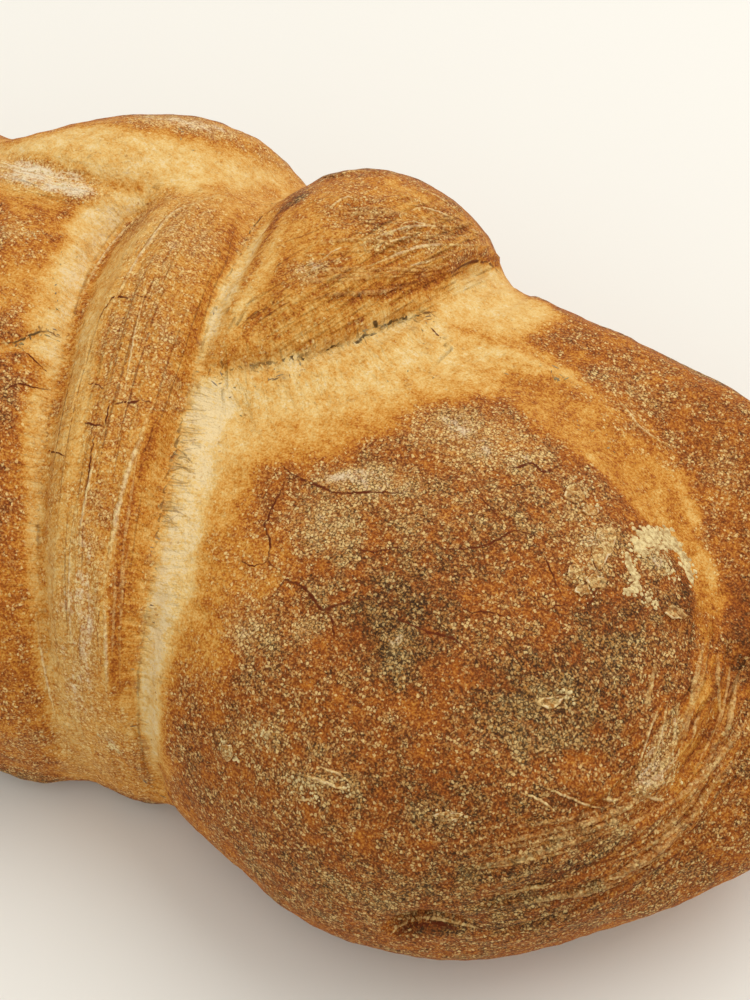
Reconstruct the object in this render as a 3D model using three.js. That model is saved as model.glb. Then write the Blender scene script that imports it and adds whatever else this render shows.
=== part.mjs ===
// A large loaf of lavender wheat bread, plaited from strands of dough that start in one
// fat round head. Millimetres, +Z up. X runs along the loaf with the head at +X, the
// flat underside lies on z = 0 and the origin is below the middle of the loaf.
//
// The loaf is one solid. Its skin is the outside of a smooth union of the head, the
// strands that cross over each other, a core below them and the closed tail. Rays sent
// out from an axis inside the loaf find that skin, row by row from the tail to the head.

import * as THREE from 'three';
import { mergeVertices } from 'three/addons/utils/BufferGeometryUtils.js';

// ---- driving dimensions ----

const LOAF_LENGTH = 335;
const LOAF_WIDTH = 180;
const LOAF_HEIGHT = 89;

// How softly neighbouring strands run into each other, how softly the outer strand
// grows out of the head, and how round the rim of the underside is.
const SEAM_BLEND = 5;
const HEAD_BLEND = 7;
const RIM_BLEND = 7;

// Roundness of a strand's section: 2 is an ellipse and more is squarer.
const STRAND_SQUARENESS = 2.2;
const STEPS_PER_STRAND = 20;

// The axis that the rays leave from, and the rows and columns of the skin.
const AXIS_HEIGHT = 22;
const AXIS_TAIL = new THREE.Vector3(-170, -4, AXIS_HEIGHT);
const AXIS_BEND = new THREE.Vector3(-110, -2, AXIS_HEIGHT);
const AXIS_HEAD = new THREE.Vector3(46, -20, AXIS_HEIGHT);
const TAIL_FAN_ROWS = 11;
const TAIL_ROWS = 12;
const BODY_ROWS = 38;
const HEAD_FAN_ROWS = 27;
const CROWN_COLUMNS = 50;
const BASE_COLUMNS = 14;
const CROWN_OVERHANG = THREE.MathUtils.degToRad(24);

const SEARCH_START = 150;
const SEARCH_STEP = 1.5;
const SEARCH_STRIDE = 0.4;
const SEARCH_HALVINGS = 18;
const FLAT_TOLERANCE = 0.01;
const BEARING_STEPS = 360;
const BEARING_ROUNDS = 6;

// How far each point of the skin settles towards the middle of its neighbours, and how
// many times.
const SETTLING = 0.4;
const SETTLING_ROUNDS = 2;

// ---- the dough's forms ----

// The round head: its reach from the middle, in plan, at each bearing in degrees
// counterclockwise from +X, and its height above and below its widest level.
const HEAD = {
  middle: new THREE.Vector3(38, -22, 30),
  rise: 55,
  fall: 46,
  squareness: 2.25,
  reach: [
    [0, 62], [30, 59], [60, 63], [90, 78], [120, 102], [150, 121], [180, 113], [210, 87],
    [240, 75], [270, 72], [300, 69], [330, 66],
  ],
};

// Each strand's middle line goes over the loaf from the end that comes out from under
// its neighbour. A stop is [x, y, z, half width, half thickness].
const STRANDS = {
  // Runs along the far side of the head and round its tip.
  outer: {
    stops: [
      [-2, 45, 40, 20, 23], [22, 40, 45, 20, 25], [48, 36, 45, 20, 26], [72, 29, 45, 21, 27],
      [94, 6, 40, 21.5, 26], [97, -22, 33, 20, 24], [84, -43, 27, 17, 20],
    ],
    hub: [40, -15, 0],
  },
  // Comes up from the far side beside the head and tapers in under the strap.
  farShoulder: {
    stops: [
      [-29, 64, 18, 30, 22], [-27, 61, 45, 30, 24], [-25, 44, 63, 27, 24], [-27, 19, 69, 23, 20],
      [-36, 0, 69, 19, 17], [-50, -13, 62, 15, 15],
    ],
  },
  // The narrow strap that crosses the whole loaf beside the head.
  strap: {
    stops: [
      [-24, -67, 10, 13, 14], [-26, -68, 35, 13.5, 14], [-32, -61, 56, 14, 14],
      [-43, -41, 69, 14.5, 14], [-52, -14, 75, 15.5, 14], [-59, 12, 74, 16, 14],
      [-64, 34, 65, 17, 14], [-66, 50, 50, 17, 14],
    ],
  },
  farMiddle: {
    stops: [
      [-76, 62, 14, 31, 22], [-80, 63, 36, 31, 24], [-91, 54, 52, 28, 21], [-109, 36, 56, 24, 19],
      [-126, 14, 54, 20, 18],
    ],
  },
  nearMiddle: {
    stops: [
      [-56, -68, 12, 27, 20], [-60, -70, 35, 28, 20], [-78, -57, 54, 27, 20],
      [-91, -28, 63, 27, 20], [-100, 2, 62, 27, 20], [-107, 25, 55, 24, 18],
    ],
  },
  farTail: {
    stops: [
      [-130, 39, 14, 27, 22], [-134, 38, 34, 26, 22], [-142, 32, 46, 25, 20],
      [-152, 14, 50, 23, 19], [-162, -4, 48, 20, 17],
    ],
  },
  nearTail: {
    stops: [
      [-116, -60, 12, 26, 22], [-122, -60, 34, 27, 22], [-132, -46, 46, 26, 21],
      [-143, -26, 52, 25, 20], [-153, -4, 50, 24, 18], [-160, 14, 42, 20, 18],
    ],
  },
};

// Round masses of dough: the end of the tail, and the core that the strands lie on.
const TAIL_END = { middle: [-156, -4, 26], reach: [59, 48, 33], squareness: 2 };
const CORE = { middle: [-60, -4, 22], reach: [112, 68, 43], squareness: 2.3 };

// The centre of the circle, seen along the loaf, that the strands' sections face away
// from.
const HUB_Y = -5;
const HUB_Z = 20;

// ---- distances to the forms, negative inside ----

function roundness(a, b, c, squareness) {
  const sum = Math.abs(a) ** squareness + Math.abs(b) ** squareness + Math.abs(c) ** squareness;
  return sum ** (1 / squareness);
}

function massDistance({ middle, reach, squareness }, p) {
  const size = roundness(
    (p.x - middle[0]) / reach[0],
    (p.y - middle[1]) / reach[1],
    (p.z - middle[2]) / reach[2],
    squareness,
  );
  return (size - 1) * Math.min(...reach);
}

// A closed smooth curve through the head's reaches.
function makeHeadOutline() {
  const corners = HEAD.reach.map(([bearing, reach]) => {
    const angle = THREE.MathUtils.degToRad(bearing);
    return new THREE.Vector3(reach * Math.cos(angle), reach * Math.sin(angle), 0);
  });
  return new THREE.CatmullRomCurve3(corners, true, 'catmullrom', 0.5);
}

// The head's reach at any bearing. The stops are evenly spaced in bearing, so the
// curve's own parameter is close to the bearing, and a few steps settle the rest.
const HEAD_OUTLINE = makeHeadOutline();
const HEAD_REACH = Array.from({ length: BEARING_STEPS }, (_, i) => reachAtBearing(i / BEARING_STEPS));

function reachAtBearing(turn) {
  let t = turn;
  for (let i = 0; i < BEARING_ROUNDS; i += 1) {
    const p = HEAD_OUTLINE.getPoint(((t % 1) + 1) % 1);
    let error = turn - Math.atan2(p.y, p.x) / (2 * Math.PI);
    error -= Math.round(error);
    t += error;
  }
  return HEAD_OUTLINE.getPoint(((t % 1) + 1) % 1).length();
}

function headDistance(p) {
  const dx = p.x - HEAD.middle.x;
  const dy = p.y - HEAD.middle.y;
  const dz = p.z - HEAD.middle.z;
  const turn = ((Math.atan2(dy, dx) / (2 * Math.PI)) + 1) % 1;
  const place = turn * BEARING_STEPS;
  const low = Math.floor(place) % BEARING_STEPS;
  const high = (low + 1) % BEARING_STEPS;
  const reach = THREE.MathUtils.lerp(HEAD_REACH[low], HEAD_REACH[high], place - Math.floor(place));
  const depth = dz > 0 ? HEAD.rise : HEAD.fall;
  const size = roundness(Math.hypot(dx, dy) / reach, dz / depth, 0, HEAD.squareness);
  return (size - 1) * (HEAD.rise - RIM_BLEND / 2);
}

// A strand as short straight lengths, each with the direction it runs, the direction
// its back faces and the one across it.
function makeStrand({ stops, hub }) {
  const line = new THREE.CatmullRomCurve3(
    stops.map(([x, y, z]) => new THREE.Vector3(x, y, z)), false, 'catmullrom', 0.5,
  );
  const sizes = new THREE.CatmullRomCurve3(
    stops.map(([, , , width, thickness]) => new THREE.Vector3(width, thickness, 0)),
    false, 'catmullrom', 0.5,
  );
  const lengths = [];
  for (let i = 0; i < STEPS_PER_STRAND; i += 1) {
    const from = line.getPoint(i / STEPS_PER_STRAND);
    const to = line.getPoint((i + 1) / STEPS_PER_STRAND);
    const size = sizes.getPoint(i / STEPS_PER_STRAND);
    const sizeAtEnd = sizes.getPoint((i + 1) / STEPS_PER_STRAND);
    const along = to.clone().sub(from);
    const length = along.length();
    along.normalize();
    const middle = from.clone().lerp(to, 0.5);
    const centre = hub ? new THREE.Vector3(...hub) : new THREE.Vector3(middle.x, HUB_Y, HUB_Z);
    const back = middle.sub(centre);
    back.addScaledVector(along, -back.dot(along)).normalize();
    const across = new THREE.Vector3().crossVectors(along, back);
    lengths.push({ from, along, length, back, across, size, sizeAtEnd });
  }
  return lengths;
}

const [OUTER_STRAND, ...CROSSING_STRANDS] = Object.values(STRANDS).map(makeStrand);
const offset = new THREE.Vector3();

function strandDistance(lengths, p) {
  let nearest = Infinity;
  for (const part of lengths) {
    offset.copy(p).sub(part.from);
    const run = offset.dot(part.along);
    const t = THREE.MathUtils.clamp(run / part.length, 0, 1);
    const width = THREE.MathUtils.lerp(part.size.x, part.sizeAtEnd.x, t);
    const thickness = THREE.MathUtils.lerp(part.size.y, part.sizeAtEnd.y, t);
    const small = Math.min(width, thickness);
    const size = roundness(
      offset.dot(part.across) / width,
      offset.dot(part.back) / thickness,
      (run - t * part.length) / small,
      STRAND_SQUARENESS,
    );
    nearest = Math.min(nearest, (size - 1) * small);
  }
  return nearest;
}

// ---- the whole loaf ----

function blendUnion(a, b, blend) {
  const h = THREE.MathUtils.clamp(0.5 + (0.5 * (b - a)) / blend, 0, 1);
  return THREE.MathUtils.lerp(b, a, h) - blend * h * (1 - h);
}

function loafDistance(p) {
  let distance = blendUnion(headDistance(p), strandDistance(OUTER_STRAND, p), HEAD_BLEND);
  for (const mass of [CORE, TAIL_END]) {
    distance = blendUnion(distance, massDistance(mass, p), SEAM_BLEND);
  }
  for (const lengths of CROSSING_STRANDS) {
    distance = blendUnion(distance, strandDistance(lengths, p), SEAM_BLEND);
  }
  return -blendUnion(-distance, p.z, RIM_BLEND);
}

// The first point of the skin met from outside, along a ray that leaves the axis.
function skinPoint(origin, direction) {
  const p = new THREE.Vector3();
  let outside = SEARCH_START;
  let inside = outside;
  let distance = SEARCH_START;
  do {
    outside = inside;
    inside -= Math.max(SEARCH_STEP, distance * SEARCH_STRIDE);
    p.copy(origin).addScaledVector(direction, inside);
    distance = loafDistance(p);
  } while (inside > 0 && distance > 0);
  for (let i = 0; i < SEARCH_HALVINGS; i += 1) {
    const middle = (outside + inside) / 2;
    p.copy(origin).addScaledVector(direction, middle);
    if (loafDistance(p) > 0) {
      outside = middle;
    } else {
      inside = middle;
    }
  }
  return p.copy(origin).addScaledVector(direction, inside);
}

// The rays of one row, in the plane across the loaf: evenly round the crown, then
// evenly over the underside.
function makeRowDirections() {
  const directions = [];
  const halfWidth = LOAF_WIDTH / 2;
  const crownHeight = LOAF_HEIGHT - AXIS_HEIGHT;
  for (let i = 0; i < CROWN_COLUMNS; i += 1) {
    const t = THREE.MathUtils.lerp(-CROWN_OVERHANG, Math.PI + CROWN_OVERHANG, i / CROWN_COLUMNS);
    directions.push(new THREE.Vector3(0, halfWidth * Math.cos(t), crownHeight * Math.sin(t)));
  }
  const edgeY = halfWidth * Math.cos(CROWN_OVERHANG);
  const edgeZ = -crownHeight * Math.sin(CROWN_OVERHANG);
  for (let i = 0; i < BASE_COLUMNS; i += 1) {
    const y = THREE.MathUtils.lerp(-edgeY, edgeY, i / BASE_COLUMNS);
    directions.push(new THREE.Vector3(0, y, edgeZ));
  }
  return directions.map((direction) => direction.normalize());
}

// The rows: where each leaves the axis, and how far its rays lean towards the tail
// (negative) or the head (positive).
function makeRows() {
  const rows = [];
  const quarter = Math.PI / 2;
  for (let i = 1; i < TAIL_FAN_ROWS; i += 1) {
    rows.push({ origin: AXIS_TAIL, lean: quarter * (i / TAIL_FAN_ROWS - 1) });
  }
  for (let i = 0; i < TAIL_ROWS; i += 1) {
    rows.push({ origin: AXIS_TAIL.clone().lerp(AXIS_BEND, i / TAIL_ROWS), lean: 0 });
  }
  for (let i = 0; i < BODY_ROWS; i += 1) {
    rows.push({ origin: AXIS_BEND.clone().lerp(AXIS_HEAD, i / BODY_ROWS), lean: 0 });
  }
  for (let i = 0; i < HEAD_FAN_ROWS; i += 1) {
    rows.push({ origin: AXIS_HEAD, lean: quarter * (i / HEAD_FAN_ROWS) });
  }
  return rows;
}

// Evens out the steps beside the strands. The underside and the rows at the two tips
// stay as they are.
function settleSkin(points, columns) {
  const before = points.map((p) => p.clone());
  const middle = new THREE.Vector3();
  for (let i = columns; i < points.length - columns; i += 1) {
    const row = i - (i % columns);
    const left = row + ((i + columns - 1) % columns);
    const right = row + ((i + 1) % columns);
    if (before[i].z > FLAT_TOLERANCE) {
      const around = [left, right, i - columns, i + columns];
      middle.set(0, 0, 0);
      around.forEach((neighbour) => middle.add(before[neighbour]));
      points[i].lerp(middle.divideScalar(around.length), SETTLING);
    }
  }
}

function makeLoafGeometry() {
  const directions = makeRowDirections();
  const columns = directions.length;
  const points = [];
  const rows = makeRows();
  for (const { origin, lean } of rows) {
    for (const direction of directions) {
      const leaning = direction.clone().multiplyScalar(Math.cos(lean));
      leaning.x = Math.sin(lean);
      points.push(skinPoint(origin, leaning));
    }
  }
  for (let i = 0; i < SETTLING_ROUNDS; i += 1) {
    settleSkin(points, columns);
  }
  const tailTip = points.length;
  points.push(skinPoint(AXIS_TAIL, new THREE.Vector3(-1, 0, 0)));
  const headTip = points.length;
  points.push(skinPoint(AXIS_HEAD, new THREE.Vector3(1, 0, 0)));

  const index = [];
  const lastRow = (rows.length - 1) * columns;
  for (let c = 0; c < columns; c += 1) {
    const next = (c + 1) % columns;
    index.push(tailTip, next, c);
    index.push(headTip, lastRow + c, lastRow + next);
    for (let r = 0; r < rows.length - 1; r += 1) {
      const here = r * columns;
      const there = here + columns;
      index.push(here + c, here + next, there + c);
      index.push(here + next, there + next, there + c);
    }
  }

  const box = new THREE.Box3().setFromPoints(points);
  const centre = box.getCenter(new THREE.Vector3());
  const scale = LOAF_LENGTH / box.getSize(new THREE.Vector3()).x;
  const places = points.flatMap((p) => {
    const z = p.z < FLAT_TOLERANCE ? 0 : p.z;
    return [(p.x - centre.x) * scale, (p.y - centre.y) * scale, z * scale];
  });
  const geometry = new THREE.BufferGeometry();
  geometry.setAttribute('position', new THREE.Float32BufferAttribute(places, 3));
  geometry.setIndex(index);
  return mergeVertices(geometry);
}

// ---- material and scene ----

function makeCrust() {
  return new THREE.MeshStandardMaterial({ color: 0xb9814a, roughness: 0.75, metalness: 0 });
}

function makeLoaf() {
  const loaf = new THREE.Mesh(makeLoafGeometry(), makeCrust());
  loaf.name = 'loaf';
  return loaf;
}

const bread = new THREE.Group();
bread.add(makeLoaf());

export default bread;
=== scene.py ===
import math
import random

import bpy
import numpy as np
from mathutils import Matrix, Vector, noise
from mathutils.bvhtree import BVHTree
from mathutils.interpolate import poly_3d_calc


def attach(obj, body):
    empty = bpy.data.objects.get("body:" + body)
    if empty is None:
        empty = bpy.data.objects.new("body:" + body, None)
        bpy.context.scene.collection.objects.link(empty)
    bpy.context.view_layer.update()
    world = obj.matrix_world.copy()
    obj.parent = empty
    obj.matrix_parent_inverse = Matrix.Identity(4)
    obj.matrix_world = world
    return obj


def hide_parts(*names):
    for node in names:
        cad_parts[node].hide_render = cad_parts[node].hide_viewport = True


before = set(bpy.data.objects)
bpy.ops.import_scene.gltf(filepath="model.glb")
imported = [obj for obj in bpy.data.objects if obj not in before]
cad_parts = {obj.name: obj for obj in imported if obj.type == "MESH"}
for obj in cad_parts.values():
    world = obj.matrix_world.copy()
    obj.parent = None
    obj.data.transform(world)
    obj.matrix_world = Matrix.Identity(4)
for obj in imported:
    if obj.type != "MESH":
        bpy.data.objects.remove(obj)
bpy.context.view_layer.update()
random.seed(7)
dice = np.random.default_rng(7)


# ---- The viewpoint ----
# The loaf lies on its flat underside and is looked down on from its near side, from
# the right of its middle, so that the round head fills the picture.

PHOTO_WIDTH = 750
PHOTO_HEIGHT = 1000
LOOK_AT = Vector((0.0461, 0.0033, 0.0418))
BEARING = math.radians(27)
CLIMB = math.radians(54)
STAND_OFF = 0.4871
FIELD_HEIGHT = math.radians(27)
SENSOR = 36

toward_eye = Vector((
    math.sin(BEARING) * math.cos(CLIMB), -math.cos(BEARING) * math.cos(CLIMB), math.sin(CLIMB),
))
eye = LOOK_AT + toward_eye * STAND_OFF
sight_line = -toward_eye
picture_right = sight_line.cross(Vector((0, 0, 1))).normalized()
picture_up = picture_right.cross(sight_line)
focal_pixels = PHOTO_HEIGHT / 2 / math.tan(FIELD_HEIGHT / 2)

camera_data = bpy.data.cameras.new("camera")
camera_data.sensor_width = SENSOR
camera_data.lens = SENSOR / 2 / math.tan(FIELD_HEIGHT / 2)
camera = bpy.data.objects.new("camera", camera_data)
camera.location = eye
camera.rotation_mode = "QUATERNION"
camera.rotation_quaternion = toward_eye.to_track_quat("Z", "Y")
bpy.context.scene.collection.objects.link(camera)
bpy.context.scene.camera = camera


def ray_through(pixel):
    """The direction from the eye through a point of the photograph."""
    across = (pixel[0] - PHOTO_WIDTH / 2) / focal_pixels
    rise = (PHOTO_HEIGHT / 2 - pixel[1]) / focal_pixels
    return (sight_line + picture_right * across + picture_up * rise).normalized()


def pixels_of(points):
    """Where points of the loaf lie in the photograph's frame."""
    offset = points - np.array(eye)
    depth = offset @ np.array(sight_line)
    x = PHOTO_WIDTH / 2 + focal_pixels * (offset @ np.array(picture_right)) / depth
    y = PHOTO_HEIGHT / 2 - focal_pixels * (offset @ np.array(picture_up)) / depth
    return np.stack([x, y], axis=1)


# ---- The crust ----
# The loaf's whole skin: wheat dough in thick strands, plaited behind a fat round head,
# browned on the crests, pale where it stretched along the seams, dusted with flour.

SKIN_ROUNDS = 2
MERGE_GAP = 0.00001

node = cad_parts["loaf"]
crust = bpy.data.objects.new("bread_crust", node.data.copy())
bpy.context.scene.collection.objects.link(crust)


def only(piece):
    """Selects one piece alone and makes it the active one."""
    bpy.ops.object.select_all(action="DESELECT")
    piece.select_set(True)
    bpy.context.view_layer.objects.active = piece


only(crust)
bpy.ops.object.mode_set(mode="EDIT")
bpy.ops.mesh.select_all(action="SELECT")
bpy.ops.mesh.remove_doubles(threshold=MERGE_GAP)
bpy.ops.mesh.tris_convert_to_quads(face_threshold=math.pi, shape_threshold=math.pi)
bpy.ops.object.mode_set(mode="OBJECT")
smoother = crust.modifiers.new("skin", "SUBSURF")
smoother.levels = SKIN_ROUNDS
smoother.render_levels = SKIN_ROUNDS
bpy.ops.object.modifier_apply(modifier="skin")
bpy.ops.object.shade_smooth()

skin = crust.data
count = len(skin.vertices)
edges = np.zeros(len(skin.edges) * 2, np.int64)
skin.edges.foreach_get("vertices", edges)
edges = edges.reshape(-1, 2)
neighbours = np.bincount(edges.ravel(), minlength=count)


def read_skin():
    """The crust's points and the directions that they face."""
    points = np.zeros(count * 3)
    skin.vertices.foreach_get("co", points)
    facing = np.zeros(count * 3)
    skin.vertex_normals.foreach_get("vector", facing)
    return points.reshape(-1, 3), facing.reshape(-1, 3)


def write_skin(points):
    """Moves the crust's points to new places."""
    skin.vertices.foreach_set("co", points.ravel())
    skin.update()


def spread(values, rounds):
    """Evens a value out over the skin, by the mean of each point's neighbours."""
    for _ in range(rounds):
        total = np.bincount(edges[:, 0], values[edges[:, 1]], minlength=count)
        total += np.bincount(edges[:, 1], values[edges[:, 0]], minlength=count)
        values = 0.5 * values + 0.5 * total / neighbours
    return values


def ease(x):
    """A soft step from 0 to 1."""
    x = np.clip(x, 0, 1)
    return x * x * (3 - 2 * x)


def mottle(points, size, seed, octaves=3):
    """Cloudy unevenness from about -1 to 1, with clouds of the given size."""
    shift = Vector((seed * 7.3, seed * 3.1, seed * 5.7))
    return np.array([
        noise.fractal(Vector(p) / size + shift, 1.0, 2.0, octaves) for p in points
    ])


def smooth_line(stops, gap):
    """A smooth line through stops, with a point about every gap."""
    stops = np.array(stops, float)
    padded = np.vstack([2 * stops[0] - stops[1], stops, 2 * stops[-1] - stops[-2]])
    line = []
    for i in range(len(stops) - 1):
        a, b, c, d = padded[i:i + 4]
        steps = max(2, int(np.linalg.norm(c - b) / gap))
        for t in np.arange(steps)[:, None] / steps:
            line.append(0.5 * (
                2 * b + (c - a) * t + (2 * a - 5 * b + 4 * c - d) * t * t
                + (3 * b - a - 3 * c + d) * t ** 3
            ))
    line.append(stops[-1])
    return np.array(line)


points, facing = read_skin()
surface = BVHTree.FromPolygons(
    points.tolist(), [tuple(p.vertices) for p in skin.polygons],
)


def trace(stops, gap=5.0):
    """The line on the crust under a smooth line drawn over the photograph."""
    found = []
    for pixel in smooth_line(stops, gap):
        place, _, _, _ = surface.ray_cast(eye, ray_through(pixel))
        if place is not None:
            found.append(tuple(place))
    return np.array(found)


def beside(line, reach):
    """The skin within reach of a line: which points, how far off, how far along, and
    the same distance with its sign, positive on the line's left."""
    low = line.min(axis=0) - reach
    high = line.max(axis=0) + reach
    near = np.where(((points > low) & (points < high)).all(axis=1))[0]
    own = points[near]
    best = np.full(len(near), np.inf)
    run = np.zeros(len(near))
    side = np.zeros(len(near))
    start = 0.0
    for a, b in zip(line[:-1], line[1:]):
        step = b - a
        length = np.linalg.norm(step)
        if length == 0:
            continue
        t = np.clip((own - a) @ step / length ** 2, 0, 1)
        off = own - a - t[:, None] * step
        gap = np.linalg.norm(off, axis=1)
        closer = gap < best
        left = np.cross(facing[near], step / length)
        best[closer] = gap[closer]
        run[closer] = start + t[closer] * length
        side[closer] = np.einsum("ij,ij->i", off, left)[closer]
        start += length
    keep = best < reach
    sign = np.where(side < 0, -1, 1)
    return near[keep], best[keep], run[keep], (best * sign)[keep], start


def taper(run, length, ends):
    """1 along a line, easing to 0 over the given stretch at each end."""
    return ease(run / ends) * ease((length - run) / ends)


# Seams and edges of the strands, as stops over the photograph.
STRAP_RIGHT = [
    (272, 209), (260, 219), (248, 237), (238, 259), (223, 285), (211, 316), (198, 362),
    (186, 398), (177, 442), (168, 471), (162, 505), (157, 535), (151, 580), (146, 615),
    (141, 650), (138, 690), (140, 735), (150, 780), (162, 802),
]
STRAP_LEFT = [
    (165, 195), (130, 215), (100, 250), (75, 310), (58, 380), (45, 450), (38, 540),
    (42, 640), (55, 720), (68, 765),
]
SHOULDER_CRACK = [
    (196, 374), (214, 377), (236, 368), (260, 364), (280, 361), (304, 355), (336, 346),
    (372, 333), (392, 324), (410, 317), (440, 311),
]
GROOVE = [
    (439, 330), (475, 350), (510, 372), (550, 395), (590, 422), (624, 455), (653, 495),
    (681, 538), (702, 585), (712, 620), (710, 652), (699, 690),
]
MIDDLE_SEAM = [(-60, 150), (0, 149), (25, 160), (77, 174), (120, 186), (160, 194)]
NEAR_CREASE = [(-40, 350), (18, 342), (31, 335), (46, 332), (62, 340)]
SHOULDER_RIM = [(448, 282), (462, 271), (478, 267), (492, 272), (504, 284)]

# How deep and how wide each seam is pressed in, and how far off its ends it fades.
SEAM_ENDS = 0.010
SEAMS = [
    (STRAP_RIGHT, 0.0028, 0.0028),
    (STRAP_LEFT, 0.0021, 0.0023),
    (SHOULDER_CRACK, 0.0026, 0.0024),
    (GROOVE, 0.0016, 0.0075),
    (MIDDLE_SEAM, 0.0016, 0.0026),
    (NEAR_CREASE, 0.0014, 0.0016),
    (SHOULDER_RIM, 0.0026, 0.0022),
]

# Smoothing draws the skin in a little, so it is first let out again to the solid.
LETTING_ROUNDS = 4
# How many widths off its line a ridge or groove, and a stroke of colour, still counts.
RIDGE_REACH = 3
STROKE_REACH = 2.5
solid = BVHTree.FromPolygons(
    [tuple(v.co) for v in node.data.vertices], [tuple(p.vertices) for p in node.data.polygons],
)
drawn_in = np.array([solid.find_nearest(Vector(p))[0] for p in points]) - points
lift = spread(np.einsum("ij,ij->i", drawn_in, facing), LETTING_ROUNDS)


def raise_along(stops, height, width, ends, gap=5.0):
    """Raises the skin in a round ridge along a line, or presses a groove if below 0."""
    which, off, run, _, length = beside(trace(stops, gap), width * RIDGE_REACH)
    lift[which] += height * np.exp(-(off / width) ** 2) * taper(run, length, ends)


for stops, depth, width in SEAMS:
    raise_along(stops, -depth, width, SEAM_ENDS)

# Dough is never even: broad swellings, and small dimples from flour and gas. Each has
# its height, its size, its seed and how finely it is broken up.
UNEVENNESS = [(0.0012, 0.045, 1, 2), (0.0005, 0.011, 2, 3), (0.00018, 0.004, 3, 2)]
for height, size, seed, octaves in UNEVENNESS:
    lift += height * mottle(points, size, seed, octaves)

# Grain drawn into the dough: lengthwise on the far shoulder, the strap and the head's
# near right, and crosswise where the skin tore open beside the seams.
SHOULDER_FAN = [(262, 372), (300, 345), (350, 315), (400, 283), (450, 258), (512, 232)]
STRAP_MIDDLE = [
    (228, 188), (185, 225), (150, 290), (122, 370), (105, 450), (92, 530), (88, 610),
    (92, 690), (104, 750), (118, 790),
]
NEAR_FAN = [
    (450, 905), (520, 890), (590, 860), (650, 812), (700, 755), (735, 690), (760, 620),
]
NEAR_TOP = [(-60, 172), (0, 172), (50, 184), (110, 202)]
# Each line has its reach, how fast the grain changes along it, the depth of its
# wrinkles, how far apart they lie and how strongly the grain colours the crust.
LONG_LINES = [
    (SHOULDER_FAN, 0.030, 0.10, 0.0011, 0.0030, 1.0),
    (STRAP_MIDDLE, 0.019, 0.05, 0.0008, 0.0032, 0.45),
    (NEAR_FAN, 0.028, 0.08, 0.0012, 0.0032, 0.8),
    (NEAR_TOP, 0.012, 0.10, 0.0004, 0.0030, 0.9),
]
CROSS_LINES = [
    (STRAP_RIGHT, 0.012, 0.22, 0.00035, 0.0020, 1.0),
    (SHOULDER_CRACK, 0.022, 0.20, 0.00035, 0.0020, 1.0),
    (GROOVE, 0.018, 0.24, 0.00030, 0.0022, 0.8),
    (STRAP_LEFT, 0.012, 0.22, 0.00030, 0.0020, 1.0),
]


# The grain is whole out to about a quarter of its reach, and fades where lines meet.
GRAIN_FULLNESS = 1.4
GRAIN_MEETING = 0.35
GRAIN_SEED = 11
GRAIN_STEP = 0.1


def lay_grain(lines, across):
    """Coordinates that run with the grain beside each line, and how strong it is, which
    fades out where two lines meet. The skin is wrinkled along the grain as well."""
    place = np.zeros((count, 3))
    best = np.zeros(count)
    second = np.zeros(count)
    wrinkle = np.zeros(count)
    shown = np.zeros(count)
    for number, (stops, reach, stretch, depth, spacing, show) in enumerate(lines):
        which, gap, run, side, length = beside(trace(stops), reach)
        amount = ease(GRAIN_FULLNESS * (1 - gap / reach)) * taper(run, length, SEAM_ENDS)
        stronger = amount > best[which]
        second[which] = np.where(stronger, best[which], np.maximum(second[which], amount))
        which, run, side, amount = (v[stronger] for v in (which, run, side, amount))
        if across:
            run, side = side * stretch, run
        else:
            run = run * stretch
        place[which] = np.stack([side, run, run * 0 + number * GRAIN_STEP], axis=1)
        best[which] = amount
        shown[which] = show
        wrinkle[which] = depth * mottle(place[which], spacing, GRAIN_SEED + number, 2)
    strength = best * ease((best - second) / GRAIN_MEETING)
    return place, strength * shown, wrinkle * strength


long_grain, long_amount, long_wrinkle = lay_grain(LONG_LINES, False)
cross_grain, cross_amount, cross_wrinkle = lay_grain(CROSS_LINES, True)
lift += long_wrinkle + cross_wrinkle

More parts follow.
